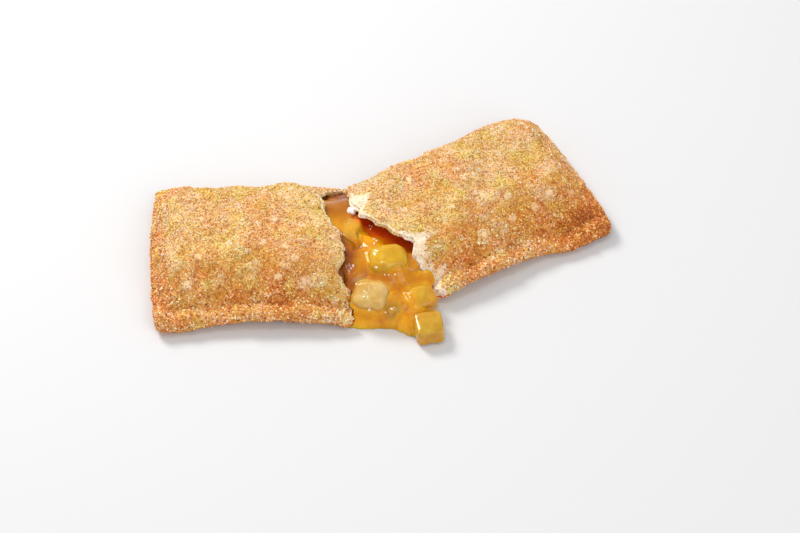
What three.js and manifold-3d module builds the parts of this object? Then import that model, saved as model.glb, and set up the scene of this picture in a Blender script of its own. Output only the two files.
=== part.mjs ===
// A fried apple pie, broken open across its middle and bent at the back edge, so that the apple
// filling runs out of the gap. One torn crust, the filling that runs through it, and the cubes of
// apple that stand in the filling. Millimetres, +Z up; the front of the pie faces -Y.
import * as THREE from "three";
import { mergeVertices } from "three/addons/utils/BufferGeometryUtils.js";
import Module from "manifold-3d";

const wasm = await Module();
wasm.setup();

const { clamp, lerp, smoothstep, degToRad } = THREE.MathUtils;

// ---------------------------------------------------------------- driving dimensions
const WIDTH = 59; // front edge to back edge
const LEFT_LENGTH = 64.6; // tear to sealed end, left half
const RIGHT_LENGTH = 75; // tear to sealed end, right half
const HEIGHT = 17.5; // crown of the dome above the table
const CRUST = 2.4; // thickness of the fried dough
const LEFT_TURN = 1; // degrees that the left half turns about the hinge
const RIGHT_TURN = 30.5; // degrees that the right half turns about the hinge

// The sealed rim round the dome
const RIM_THICK = 4.8; // along the front and the end
const RIM_THICK_BACK = 3.6;
const RIM_FRONT = 8;
const RIM_BACK = 4.4;
const RIM_END = 4.8;
const EDGE_ROUND = 3.4; // how far in from the edge the rim is rounded
const DOME_FRONT = 5.8; // how far in from each edge the dome begins to rise
const DOME_BACK = 0.6;
const DOME_END = 0.8;
const CREASE_DEPTH = 0.2;
const CREASE_WIDTH = 2;
const HINGE = 5; // length of the back rim that still joins the halves
const LIFT_REACH = 25; // how far along the front the rim's lift reaches
const GAP = 0.35; // air left between touching solids

const half = (settings) => ({
  ...settings,
  cos: Math.cos(degToRad(settings.turn)),
  sin: Math.sin(degToRad(settings.turn)),
});

// The outline of each half is a rectangle that bows and flares a little: `bow` moves the front
// edge inwards, and a flare of [distance, from, to] moves an edge outwards between two places
// along the half. `lift` is how far the rim stands clear of the table at the front (round
// `liftCentre`), the back and the end, and `domeReach` is how far the dome takes to rise from each.
// The tears are lists of [across, along]: how far along the half the crust is torn back, going
// from the front edge to the back edge. The left half's bottom crust runs on under the filling as
// a tongue, whose front edge lies `tongueFront` behind the outline: a list of [along, distance].
// `fillDrop` is how far the filling has sunk behind the tear, at the front and at the back.
const LEFT = half({
  side: -1,
  turn: LEFT_TURN,
  length: LEFT_LENGTH,
  seed: 11,
  cornerFront: 3,
  cornerBack: 2,
  endBow: 1.5,
  endBowCentre: 6,
  bow: 1.6,
  flareFront: [1.6, 38, 62],
  flareBack: [1.8, 0, 14],
  lift: { front: 2.6, back: 1.2, end: 1.1 },
  domeReach: { front: 17, back: 16, end: 11 },
  liftCentre: 26,
  fillDrop: [0.5, 0.4],
  tongueFront: [[-14.5, 2.6], [-5, 2.9], [-3.4, 2.2], [-1.2, 0]],
  tearTop: [
    [-29.5, -2.4], [-24, -2.7], [-20.4, -2.2], [-17.4, 0.4], [-14.6, 2.2], [-11, 0.4], [-7, 0],
    [0, 1.9], [4, 3.8], [10, 6.7], [18, 8], [23, 6], [26.5, 0.5], [29.5, 0],
  ],
  tearBottom: [
    [-29.5, -21], [-24, -22], [-16, -19], [-6, -13.5], [4, -8], [14, -3.5], [21, -1.6], [29.5, 0],
  ],
});
const RIGHT = half({
  side: 1,
  turn: RIGHT_TURN,
  length: RIGHT_LENGTH,
  seed: 29,
  cornerFront: 3,
  cornerBack: 13,
  endBow: 2.2,
  endBowCentre: 4,
  bow: 0.5,
  flareFront: [3.2, 44, 60],
  flareBack: [0.6, 40, 60],
  lift: { front: 2.9, back: 0.8, end: 0.5 },
  domeReach: { front: 17, back: 19, end: 14 },
  liftCentre: 24,
  fillDrop: [4.5, 5],
  tongueFront: [[0, 0], [1, 0]],
  tearTop: [
    [-29.5, 8.4], [-27, 5.6], [-22, 6.2], [-19, 4.9], [-15, 4.9], [-12, 7.1], [-8.7, 5],
    [-2.8, 2.4], [3.6, -1.2], [8, -2.5], [15, -2.4], [21, 0.2], [25, 1], [29.5, 0],
  ],
  tearBottom: [[-29.5, 8.4], [-15, 6], [0, 2], [12, -1.5], [21, -1.6], [29.5, 0]],
});

// ---------------------------------------------------------------- small helpers
const BLISTERS = 46;
const RANDOM_STEP = 1664525;
const RANDOM_SHIFT = 1013904223;
const RANDOM_RANGE = 4294967296;

// A repeatable stream of numbers from 0 to 1.
function seededRandom(seed) {
  let state = seed >>> 0;
  return () => {
    state = (Math.imul(state, RANDOM_STEP) + RANDOM_SHIFT) >>> 0;
    return state / RANDOM_RANGE;
  };
}

// A value from a list of [position, value], eased between neighbours.
function eased(points, position) {
  const last = points.length - 1;
  if (position <= points[0][0]) return points[0][1];
  if (position >= points[last][0]) return points[last][1];
  const next = points.findIndex(([at]) => at > position);
  const [from, low] = points[next - 1];
  const [to, high] = points[next];
  return lerp(low, high, smoothstep(position, from, to));
}

// 0 on an edge, 1 from `reach` inwards, with the round shoulder of a superellipse.
function shoulder(distance, reach) {
  const inward = clamp(distance / reach, 0, 1);
  return Math.pow(Math.max(1 - Math.pow(1 - inward, 2.6), 0), 1 / 2.6);
}

// The dome's profile: it leaves the rim softly and is flat over the crown.
function rise(distance, reach) {
  const inward = clamp(distance / reach, 0, 1);
  return Math.pow(1 - Math.pow(1 - inward, 2.2), 1.1);
}

const bell = (distance, width) => Math.exp(-((distance / width) ** 2));

// Low round blisters, drawn once for each half.
function blistersOf({ seed, length }) {
  const random = seededRandom(seed);
  return Array.from({ length: BLISTERS }, () => ({
    along: random() * length,
    across: (random() - 0.5) * WIDTH,
    radius: 2.2 + 3.2 * random(),
    height: 0.35 + 0.65 * random(),
  }));
}
for (const side of [LEFT, RIGHT]) side.blisters = blistersOf(side);

// ---------------------------------------------------------------- the crust's surfaces
// Everything below is in a half's own frame: `along` from the tear outwards, `across` from the
// front edge (-WIDTH / 2) to the back edge (+WIDTH / 2).

// Where the sealed end lies, with its two round corners.
function endOf(pie, across) {
  const radius = across < 0 ? pie.cornerFront : pie.cornerBack;
  const corner = clamp((Math.abs(across) - WIDTH / 2 + radius) / radius, 0, 1);
  const bow = pie.endBow * (1 - ((across - pie.endBowCentre) / (WIDTH / 2)) ** 2);
  return pie.length + bow - radius * (1 - Math.sqrt(Math.max(1 - corner ** 2.4, 0)));
}

// Distances from a point to the front edge, the back edge and the sealed end.
const distances = (pie, along, across) => [
  across + WIDTH / 2,
  WIDTH / 2 - across,
  endOf(pie, across) - along,
];

// How far the underside stands clear of the table: not at all, except along the rim.
function underside(pie, along, across) {
  const [front, back, end] = distances(pie, along, across);
  const bowl = bell(along - pie.liftCentre, LIFT_REACH);
  return Math.max(
    pie.lift.front * bowl * (1 - smoothstep(front, 0, 16)),
    pie.lift.back * (1 - smoothstep(back, 0, 10)),
    pie.lift.end * (1 - smoothstep(end, 0, 9)),
  );
}

const rimThickness = (back) => lerp(RIM_THICK_BACK, RIM_THICK, smoothstep(back, 4, 20));

function edgeOf(pie, along, across) {
  const [front, back, end] = distances(pie, along, across);
  return shoulder(front, EDGE_ROUND) * shoulder(back, EDGE_ROUND) * shoulder(end, EDGE_ROUND);
}

// The broad waves and the blisters of the fried dough.
function relief(pie, along, across) {
  const waves =
    0.4 * Math.sin(0.21 * along + 1.3) * Math.cos(0.17 * across + 0.4) +
    0.28 * Math.sin(0.36 * along - 0.29 * across + 2.1) +
    0.2 * Math.sin(0.13 * along + 0.47 * across);
  return pie.blisters.reduce((sum, blister) => {
    const away = Math.hypot(along - blister.along, across - blister.across);
    return sum + blister.height * bell(away, blister.radius);
  }, waves);
}

function topOf(pie, along, across) {
  const [front, back, end] = distances(pie, along, across);
  const edge = edgeOf(pie, along, across);
  const reach = pie.domeReach;
  const dome =
    rise(front - DOME_FRONT, reach.front) *
    rise(back - DOME_BACK, reach.back) *
    rise(end - DOME_END, reach.end);
  const crease = CREASE_DEPTH * bell(front - DOME_FRONT, CREASE_WIDTH) * smoothstep(end, 2, 8);
  const middle = rimThickness(back) / 2;
  return (
    underside(pie, along, across) + middle + middle * edge +
    (HEIGHT - 2 * middle) * dome - crease * edge + relief(pie, along, across) * edge
  );
}

function bottomOf(pie, along, across) {
  const middle = rimThickness(WIDTH / 2 - across) / 2;
  return underside(pie, along, across) + middle * (1 - edgeOf(pie, along, across));
}

// Fine teeth of the torn dough.
const ragged = (pie, across) =>
  0.3 * Math.sin(0.9 * across + pie.seed) + 0.2 * Math.sin(1.9 * across + 2 * pie.seed);

const tearAt = (pie, points, across) =>
  eased(points, across) + ragged(pie, across) * smoothstep(WIDTH / 2 - Math.abs(across), 0, 4);

// From a half's own frame to the pie's frame, whose origin is the outer end of the hinge.
function placed(pie, along, across, up) {
  const x = pie.side * along;
  const y = across - (WIDTH / 2 - HINGE);
  return [x * pie.cos - y * pie.sin, x * pie.sin + y * pie.cos - HINGE, up];
}

// ---------------------------------------------------------------- closed solids
function solidFrom(positions, triangles) {
  const sheet = new THREE.BufferGeometry();
  sheet.setAttribute("position", new THREE.Float32BufferAttribute(positions, 3));
  sheet.setIndex(triangles);
  const merged = mergeVertices(sheet, 1e-4);
  const kept = [];
  const index = merged.index.array;
  for (let i = 0; i < index.length; i += 3) {
    const [a, b, c] = [index[i], index[i + 1], index[i + 2]];
    if (a !== b && b !== c && c !== a) kept.push(a, b, c);
  }
  const solid = new wasm.Manifold(
    new wasm.Mesh({
      numProp: 3,
      vertProperties: merged.attributes.position.array,
      triVerts: new Uint32Array(kept),
    }),
  );
  return solid.volume() < 0 ? turnedOver(positions, triangles) : solid;
}

function turnedOver(positions, triangles) {
  const turned = [];
  for (let i = 0; i < triangles.length; i += 3)
    turned.push(triangles[i], triangles[i + 2], triangles[i + 1]);
  return solidFrom(positions, turned);
}

// A closed solid from an upper and a lower sheet over one grid, with a wall round their edges.
// Both functions take a row and a column and give [x, y, z].
function sandwich(rows, columns, upper, lower) {
  const positions = [];
  const triangles = [];
  const line = columns + 1;
  const sheets = [upper, lower];
  for (const sheet of sheets)
    for (let i = 0; i <= rows; i++)
      for (let j = 0; j <= columns; j++) positions.push(...sheet(i, j));
  const lowerStart = (rows + 1) * line;
  const quad = (a, b, c, d) => triangles.push(a, b, c, a, c, d);
  for (let i = 0; i < rows; i++)
    for (let j = 0; j < columns; j++) {
      const at = i * line + j;
      quad(at, at + 1, at + line + 1, at + line);
      const under = lowerStart + at;
      quad(under, under + line, under + line + 1, under + 1);
    }
  const wall = (a, b) => quad(a, lowerStart + a, lowerStart + b, b);
  for (let j = 0; j < columns; j++) {
    wall(j, j + 1);
    wall(rows * line + j + 1, rows * line + j);
  }
  for (let i = 0; i < rows; i++) {
    wall((i + 1) * line, i * line);
    wall(i * line + columns, (i + 1) * line + columns);
  }
  return solidFrom(positions, triangles);
}

// Where the grid's lines lie, in millimetres from an edge: closest on the rim and its crease.
const EDGE_LINES = [0, 0.6, 1.6, 3.2, 5.5];
const CREASE_LINES = [0, 1.2, 3, 5.5, 9]; // from the crease inwards
const SPAN_LINES = 6; // over the crown, between the last crease lines
const SPAN_LINES_ALONG = 11; // from the tear to the end's first crease line

// The lines across the pie, from the front edge to the back edge.
function acrossLines() {
  const front = [...EDGE_LINES, ...CREASE_LINES.map((line) => RIM_FRONT + line)];
  const back = [...EDGE_LINES.slice(0, 4), ...CREASE_LINES.map((line) => RIM_BACK + line)];
  const share = (i) => (i + 1) / (SPAN_LINES + 1);
  const between = (i) => lerp(front.at(-1), WIDTH - back.at(-1), share(i));
  const crown = Array.from({ length: SPAN_LINES }, (_, i) => between(i));
  const all = [...front, ...crown, ...back.reverse().map((line) => WIDTH - line)];
  return all.map((line) => line - WIDTH / 2);
}
const ACROSS = acrossLines();

// The lines next to the sealed end, counted back from it. The rest run evenly to the tear.
const END_LINES = [...EDGE_LINES.slice(0, 4), ...CREASE_LINES.map((line) => RIM_END + line)].reverse();

function alongLine(start, end, row) {
  const first = end - END_LINES[0];
  if (row < SPAN_LINES_ALONG) return lerp(start, first, row / SPAN_LINES_ALONG);
  return end - END_LINES[row - SPAN_LINES_ALONG];
}

// One half of the pie as a full solid, grown by `grow` on every side.
function wholeHalf(pie, grow) {
  const rows = SPAN_LINES_ALONG + END_LINES.length - 1;
  const sheet = (surface, side) => (row, column) => {
    const across = ACROSS[column];
    const along = alongLine(tearAt(pie, pie.tearTop, across), endOf(pie, across), row);
    const outward = grow * ((2 * row) / rows - 1);
    const sideways = bowed(pie, along, across) * (1 + (2 * grow) / WIDTH);
    return placed(pie, along + outward, sideways, surface(pie, along, across) + side * grow);
  };
  return sandwich(rows, ACROSS.length - 1, sheet(topOf, 1), sheet(bottomOf, -1));
}

// Where a point across the half comes to lie through the outline's bow and flares, which fade
// towards the opposite edge, and the tongue's own edge.
function bowed(pie, along, across) {
  const nearFront = (0.5 - across / WIDTH) ** 3;
  const nearBack = (0.5 + across / WIDTH) ** 3;
  const bow = pie.bow * bell(along - pie.liftCentre, LIFT_REACH);
  const flare = ([distance, from, to]) => distance * smoothstep(along, from, to);
  const inwards = bow - flare(pie.flareFront) + eased(pie.tongueFront, along);
  return across + inwards * nearFront + flare(pie.flareBack) * nearBack;
}

const FLAP_ROWS = 6;
const FLAP_EDGE = 1.4; // how far in the flap's edges are rounded
const FLAP_LAP = 3; // how far the flap runs in under the half

// The bottom crust beyond the tear of the top one, grown by `grow` on every side. It ends inside
// the back rim.
function flap(pie, grow) {
  const sheet = (side) => (row, column) => {
    const across = Math.min(ACROSS[column], WIDTH / 2 - 3);
    const top = tearAt(pie, pie.tearTop, across);
    const start = Math.min(tearAt(pie, pie.tearBottom, across), top);
    const along = start + (top + FLAP_LAP - start) * (row / FLAP_ROWS) ** 1.6;
    const edge = shoulder(along - start, FLAP_EDGE) * shoulder(across + WIDTH / 2, FLAP_EDGE);
    const level = underside(pie, along, across) + CRUST / 2;
    const outward = grow * ((2 * row) / FLAP_ROWS - 1);
    const sideways = bowed(pie, along, across) * (1 + (2 * grow) / WIDTH);
    return placed(pie, along + outward, sideways, level + side * ((CRUST / 2) * edge + grow));
  };
  return sandwich(FLAP_ROWS, ACROSS.length - 1, sheet(1), sheet(-1));
}

const CAVITY_ROWS = 11;
const CAVITY_COLUMNS = 15;
const CAVITY_ROUND = 3;
const LEAST_HOLLOW = 0.3; // half thickness of the hollow where the dome is lowest
const CLEARANCE = 0.9; // air between the crust and the filling inside it
const INSET = 1.6; // how far the filling stops short of the hollow's sides, and twice that at its end

// The room inside one half: `mouth` is how far it reaches out of the tear, `gap` thins it and
// `inset` narrows it in plan to keep it off the crust, and `drop` lowers its roof at the tear, by
// its first value at the front and by its second at the back.
function hollow(pie, { mouth, gap, inset, drop }) {
  const front = -WIDTH / 2 + RIM_FRONT + inset;
  const back = WIDTH / 2 - RIM_BACK - inset;
  const sheet = (side) => (row, column) => {
    const across = lerp(front, back, column / CAVITY_COLUMNS);
    const end = endOf(pie, across) - RIM_END - 2 * inset;
    const along = lerp(-mouth, end, row / CAVITY_ROWS);
    const inside = Math.min(along, end);
    const lowered = lerp(...drop, smoothstep(across, -2, 14)) * (1 - smoothstep(along, 8, 24));
    const roof = topOf(pie, inside, across) - CRUST - gap - lowered;
    const floor = bottomOf(pie, inside, across) + CRUST + gap;
    const nearest = Math.min(across - front, back - across);
    const closing = shoulder(nearest, CAVITY_ROUND) * shoulder(end - along, CAVITY_ROUND);
    const thick = Math.max((roof - floor) / 2, LEAST_HOLLOW - gap / 2, 0.1) * closing;
    return placed(pie, along, across, (roof + floor) / 2 + side * thick);
  };
  return sandwich(CAVITY_ROWS, CAVITY_COLUMNS, sheet(1), sheet(-1));
}

function box(low, high) {
  const size = high.map((value, axis) => value - low[axis]);
  const shape = new THREE.BoxGeometry(...size);
  shape.translate(...low.map((value, axis) => value + size[axis] / 2));
  return solidFrom([...shape.attributes.position.array], [...shape.index.array]);
}
const BELOW_TABLE = box([-200, -200, -50], [200, 200, 0]);

// ---------------------------------------------------------------- the filling
const SPILL_CENTRE = [13, -38];
const SPILL_SPOKES = 38;
const SPILL_RINGS = 9;
// The spill's edge on the table as [degrees round its centre from +X, distance].
const SPILL_EDGE = [
  [-180, 20], [-150, 21.5], [-125, 23], [-112, 21.6], [-101, 20.6], [-91, 20], [-81.5, 20.4],
  [-77, 20.9], [-72, 22.8], [-66.5, 25.5], [-62, 26.9], [-52, 25.5], [-43, 24.8], [-32, 22],
  [-18, 20.5], [0, 21], [25, 22], [50, 24], [75, 31], [100, 36.5], [120, 39], [138, 35], [150, 27],
  [180, 20],
];

const CAVE_DIP = 3.6; // how far the filling falls towards the right half's mouth
const RIM_DIP = 2.2; // how far it falls towards the left half's front rim
const CUBE_FILLET = 2.2; // how much higher it lies against the front cube's left side

// From the pie's frame back to a half's own along and across, without the bow.
function ownFrame(pie, x, y) {
  const up = y + HINGE;
  const along = pie.side * (x * pie.cos + up * pie.sin);
  return [along, up * pie.cos - x * pie.sin + (WIDTH / 2 - HINGE)];
}

// Height of the filling in the gap: nearly up to the crust at the left and the back, falling to
// the front, to the right and towards the right half's mouth.
function spillHeight(x, y) {
  const fromFront = smoothstep(y, -61, -33) ** 0.7;
  const fromLeft = 1 - 0.25 * smoothstep(x, 12, 30);
  const toBack = 1 - 0.1 * smoothstep(y, -26, -14) - 0.3 * smoothstep(y, -12, -3);
  const [along, across] = ownFrame(RIGHT, x, y);
  const mouth = smoothstep(along - tearAt(RIGHT, RIGHT.tearTop, across), -6, 0);
  const cave = mouth * smoothstep(across, -19, -12) * (1 - smoothstep(across, 4, 12));
  const ripples = 0.3 * Math.sin(0.45 * x + 0.3 * y) + 0.25 * Math.sin(0.6 * y - 0.25 * x + 1);
  const byRim = RIM_DIP * (1 - smoothstep(x, 1.5, 5)) * (1 - smoothstep(y, -53, -45));
  const byCube = CUBE_FILLET * bell(Math.hypot(x - 23.2, y + 57.6), 4.6);
  return 4.4 + 8.6 * fromFront * fromLeft * toBack - CAVE_DIP * cave - byRim + byCube + ripples;
}

// The spill, with a steep round edge. It starts a little under the table and is cut off there.
function spill() {
  const below = 1;
  const sheet = (side) => (u, v) => {
    const angle = lerp(-180, 180, u);
    const reach = eased(SPILL_EDGE, angle) * v;
    const x = SPILL_CENTRE[0] + reach * Math.cos(degToRad(angle));
    const y = SPILL_CENTRE[1] + reach * Math.sin(degToRad(angle));
    const up = (spillHeight(x, y) + below) * Math.sqrt(1 - v ** 8);
    return [x, y, side > 0 ? up - below : -below];
  };
  return disc(SPILL_SPOKES, SPILL_RINGS, sheet);
}

// A closed disc from an upper and a lower sheet over spokes and rings; v is 0 at the centre.
function disc(spokes, rings, sheet) {
  const positions = [];
  const triangles = [];
  for (const side of [1, -1])
    for (let i = 0; i <= spokes; i++)
      for (let j = 0; j <= rings; j++)
        positions.push(...sheet(side)((i % spokes) / spokes, 1 - (1 - j / rings) ** 1.4));
  const line = rings + 1;
  const lowerStart = (spokes + 1) * line;
  for (let i = 0; i < spokes; i++)
    for (let j = 0; j < rings; j++) {
      const [a, b, c, d] = [i * line + j, i * line + j + 1, (i + 1) * line + j + 1, (i + 1) * line + j];
      triangles.push(a, b, c, a, c, d);
      triangles.push(lowerStart + a, lowerStart + c, lowerStart + b);
      triangles.push(lowerStart + a, lowerStart + d, lowerStart + c);
    }
  return solidFrom(positions, triangles);
}

// ---------------------------------------------------------------- the apple
// Each cube of apple: centre, size, turn about Z and tilt about its own X, in degrees.
const CHUNKS = [
  { at: [15.2, -38, 11.8], size: [13.5, 11, 9], turn: 8, tilt: 12 },
  { at: [9.6, -50.2, 7.4], size: [12, 9.8, 8], turn: -12, tilt: 22 },
  { at: [29.3, -60.3, 3.4], size: [9.8, 10.6, 6.7], turn: 10, tilt: 0 },
  { at: [26.8, -50, 5.6], size: [11.5, 9, 7], turn: 24, tilt: 12 },
  { at: [3.2, -25.5, 11], size: [6, 13, 6.5], turn: -8, tilt: -8 },
  { at: [3.6, -40, 9], size: [10, 12.5, 8], turn: 16, tilt: 10 },
  { at: [17.6, -53.2, 5.6], size: [9, 7, 6.5], turn: 35, tilt: 8 },
  { at: [23.8, -37.4, 8.2], size: [8, 8.5, 6.5], turn: -20, tilt: 6 },
];
const CHUNK_AROUND = 14;
const CHUNK_RINGS = 8;
const CHUNK_SQUARE = 0.5; // 1 is an ellipsoid, 0 a sharp-edged block

const squared = (value) => Math.sign(value) * Math.abs(value) ** CHUNK_SQUARE;

// A rounded block (superellipsoid), grown by `grow`.
function chunk({ at, size, turn, tilt }, grow) {
  const positions = [];
  const triangles = [];
  const placeIt = new THREE.Matrix4()
    .makeTranslation(...at)
    .multiply(new THREE.Matrix4().makeRotationZ(degToRad(turn)))
    .multiply(new THREE.Matrix4().makeRotationX(degToRad(tilt)));
  const point = new THREE.Vector3();
  for (let i = 0; i <= CHUNK_AROUND; i++)
    for (let j = 0; j <= CHUNK_RINGS; j++) {
      const round = ((i % CHUNK_AROUND) / CHUNK_AROUND) * 2 * Math.PI;
      const climb = (j / CHUNK_RINGS - 0.5) * Math.PI;
      const level = j === 0 || j === CHUNK_RINGS ? 0 : squared(Math.cos(climb));
      point.set(
        (size[0] / 2 + grow) * level * squared(Math.cos(round)),
        (size[1] / 2 + grow) * level * squared(Math.sin(round)),
        (size[2] / 2 + grow) * squared(Math.sin(climb)),
      );
      positions.push(...point.applyMatrix4(placeIt).toArray());
    }
  const line = CHUNK_RINGS + 1;
  for (let i = 0; i < CHUNK_AROUND; i++)
    for (let j = 0; j < CHUNK_RINGS; j++) {
      const [a, b, c, d] = [i * line + j, (i + 1) * line + j, (i + 1) * line + j + 1, i * line + j + 1];
      triangles.push(a, b, c, a, c, d);
    }
  return solidFrom(positions, triangles);
}

// A lump of sugar that sticks to the filling by the hinge.
const SUGAR_LUMP = { at: [2.9, -15.4, 12.3], radius: 1.5 };

function sugarLump() {
  const shape = new THREE.IcosahedronGeometry(SUGAR_LUMP.radius, 1);
  shape.translate(...SUGAR_LUMP.at);
  const corners = [...shape.attributes.position.array];
  return solidFrom(corners, corners.slice(0, corners.length / 3).map((_, i) => i));
}

// ---------------------------------------------------------------- joining and cutting
const onTable = (solid) => solid.subtract(BELOW_TABLE);
const largest = (solid) =>
  solid.decompose().reduce((best, piece) => (piece.volume() > best.volume() ? piece : best));

// One half's crust, grown by `grow` on every side.
const shell = (pie, grow) =>
  wholeHalf(pie, grow)
    .subtract(hollow(pie, { mouth: 12, gap: grow, inset: grow, drop: [0, 0] }))
    .add(flap(pie, grow));

const crustSolid = () => largest(onTable(shell(LEFT, 0).add(shell(RIGHT, 0))));
const clearOfCrust = (solid) =>
  [LEFT, RIGHT].reduce((rest, pie) => rest.subtract(shell(pie, GAP)), solid);

// Each cube is pressed flat where it meets the crust or a cube before it.
const chunkSolids = CHUNKS.map((settings, i) => {
  const before = CHUNKS.slice(0, i);
  const pressed = before.reduce((rest, other) => rest.subtract(chunk(other, GAP)), chunk(settings, 0));
  return largest(onTable(clearOfCrust(pressed)));
});

function fillingSolid() {
  const outside = spill().subtract(wholeHalf(RIGHT, GAP));
  const inside = [LEFT, RIGHT].map((pie) =>
    hollow(pie, { mouth: 3, gap: CLEARANCE, inset: INSET, drop: pie.fillDrop }),
  );
  const whole = [...inside, sugarLump()].reduce((sum, part) => sum.add(part), outside);
  const cut = CHUNKS.reduce((rest, settings) => rest.subtract(chunk(settings, GAP)), whole);
  return largest(onTable(clearOfCrust(cut)));
}

// ---------------------------------------------------------------- the scene graph
function meshOf(name, solid, material) {
  const { vertProperties, triVerts, numProp } = solid.getMesh();
  const positions = [];
  for (const vertex of triVerts)
    positions.push(...vertProperties.subarray(vertex * numProp, vertex * numProp + 3));
  const geometry = new THREE.BufferGeometry();
  geometry.setAttribute("position", new THREE.Float32BufferAttribute(positions, 3));
  geometry.computeVertexNormals();
  const mesh = new THREE.Mesh(geometry, material);
  mesh.name = name;
  return mesh;
}

const friedDough = new THREE.MeshStandardMaterial({ color: 0xd9a765, roughness: 0.85 });
const appleJelly = new THREE.MeshStandardMaterial({ color: 0xc57a1c, roughness: 0.25 });
const cookedApple = new THREE.MeshStandardMaterial({ color: 0xe0ad3e, roughness: 0.3 });

const pie = new THREE.Group();
pie.add(meshOf("crust", crustSolid(), friedDough));
pie.add(meshOf("filling", fillingSolid(), appleJelly));
chunkSolids.forEach((solid, i) => pie.add(meshOf(`apple_chunk_${i + 1}`, solid, cookedApple)));

// The part's origin is the middle of its footprint, on the table.
const extent = new THREE.Box3().setFromObject(pie);
const middle = extent.getCenter(new THREE.Vector3());
pie.position.set(-middle.x, -middle.y, -extent.min.z);

export default pie;
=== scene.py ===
"""The looks of a fried apple pie, broken open across its middle: a sugared crust, apple and gel.

The shapes follow the CAD part's own formulas, with finer relief and more ragged tears. They are
worked out in millimetres in the pie's frame, whose origin is the outer end of the hinge, and are
moved into the row frame as their meshes are made.
"""

import math
from types import SimpleNamespace

import bpy
import numpy as np
from bpy.props import FloatProperty, FloatVectorProperty, IntProperty, PointerProperty
from mathutils import Color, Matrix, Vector


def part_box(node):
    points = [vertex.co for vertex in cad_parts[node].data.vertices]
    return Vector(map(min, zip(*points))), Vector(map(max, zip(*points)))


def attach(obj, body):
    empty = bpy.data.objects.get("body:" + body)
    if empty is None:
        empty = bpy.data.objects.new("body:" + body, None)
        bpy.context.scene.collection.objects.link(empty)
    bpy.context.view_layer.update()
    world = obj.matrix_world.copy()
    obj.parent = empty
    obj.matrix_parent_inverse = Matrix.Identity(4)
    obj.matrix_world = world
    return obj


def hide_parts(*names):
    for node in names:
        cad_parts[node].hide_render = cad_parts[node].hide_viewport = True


bl_info = {
    "name": "Fried apple pie",
    "version": (1, 0, 0),
    "blender": (4, 5, 0),
    "location": "View3D > Sidebar > Pie",
    "description": "Builds a broken fried apple pie with its sugar, its filling and a studio",
    "category": "Object",
}

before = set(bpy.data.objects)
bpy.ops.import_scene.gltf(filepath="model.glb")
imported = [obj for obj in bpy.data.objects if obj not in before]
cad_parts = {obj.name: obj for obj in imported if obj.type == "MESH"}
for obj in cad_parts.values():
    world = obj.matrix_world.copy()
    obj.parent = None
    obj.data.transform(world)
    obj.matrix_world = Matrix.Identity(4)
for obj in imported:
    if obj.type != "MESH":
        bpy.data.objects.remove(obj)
MM = 0.001
CHUNK_3_CENTRE = (29.3, -60.3)  # an uncut cube, which shows where the pie's origin lies


def pie_origin():
    """Where the pie's own origin lies in the row frame, in millimetres."""
    low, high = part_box("apple_chunk_3")
    middle = (low + high) / 2 / MM
    return np.array([middle.x - CHUNK_3_CENTRE[0], middle.y - CHUNK_3_CENTRE[1], 0.0])


ORIGIN = pie_origin()

# ------------------------------------------------------------------ the CAD part's dimensions
WIDTH = 59.0
HEIGHT = 17.5
CRUST = 2.4
RIM_THICK = 4.8
RIM_THICK_BACK = 3.6
RIM_FRONT = 8.0
RIM_BACK = 4.4
RIM_END = 4.8
EDGE_ROUND = 3.4
DOME_FRONT = 5.8
DOME_BACK = 0.6
DOME_END = 0.8
CREASE_DEPTH = 0.2
CREASE_WIDTH = 2.0
HINGE = 5.0
LIFT_REACH = 25.0
GAP = 0.35
BLISTERS = 46
CAVITY_ROUND = 3.0
LEAST_HOLLOW = 0.3
CLEARANCE = 0.9
INSET = 1.6
FLAP_EDGE = 1.4
FLAP_LAP = 3.0


def half(turn, **settings):
    """One half's settings, with the cosine and the sine of its turn."""
    angle = math.radians(turn)
    return SimpleNamespace(cos=math.cos(angle), sin=math.sin(angle), **settings)


# Lengths are in millimetres. A list of pairs holds (place across the half, value) and is eased
# between its points. A flare is (distance, start, stop), the last two along the half. fill_drop is
# how far the filling lies below the crust in front of and behind fill_turn, and cave_stop is where
# a wall closes the hollow just behind the lip, both as two places across. bare is how far the
# sugar has come off behind the tear.
LEFT = half(
    turn=1,
    name="left",
    side=-1,
    length=64.6,
    seed=11,
    corner_front=3,
    corner_back=2,
    end_bow=1.5,
    end_bow_centre=6,
    bow=1.6,
    flare_front=(1.6, 38, 62),
    flare_back=(1.8, 0, 14),
    lift_front=2.6,
    lift_back=1.2,
    lift_end=1.1,
    lift_centre=26,
    dome_reach=(17, 16, 11),
    fill_drop=(0.5, 0.4),
    fill_turn=(-2, 14),
    tongue_front=[(-14.5, 2.6), (-5, 2.9), (-3.4, 2.2), (-1.2, 0)],
    tear_top=[
        (-29.5, -2.4), (-24, -2.7), (-20.4, -2.2), (-17.4, 0.4), (-14.6, 2.2), (-11, 0.4), (-7, 0),
        (0, 1.9), (4, 3.8), (10, 6.7), (18, 8), (23, 6), (26.5, 0.5), (29.5, 0),
    ],
    tear_bottom=[
        (-29.5, -21), (-24, -22), (-16, -19), (-6, -13.5), (4, -8), (14, -3.5), (21, -1.6),
        (29.5, 0),
    ],
    lip_slant=[(-29.5, 0.3), (-20, 0.4), (0, 0.4), (18, 0.6), (29.5, 0.2)],
    thinned=1.3,
    cave_stop=(13, 20),
    bare=[(-29.5, 0.3), (-20, 0.5), (-8, 0.4), (8, 0.5), (18, 1.0), (29.5, 0.3)],
)
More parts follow.
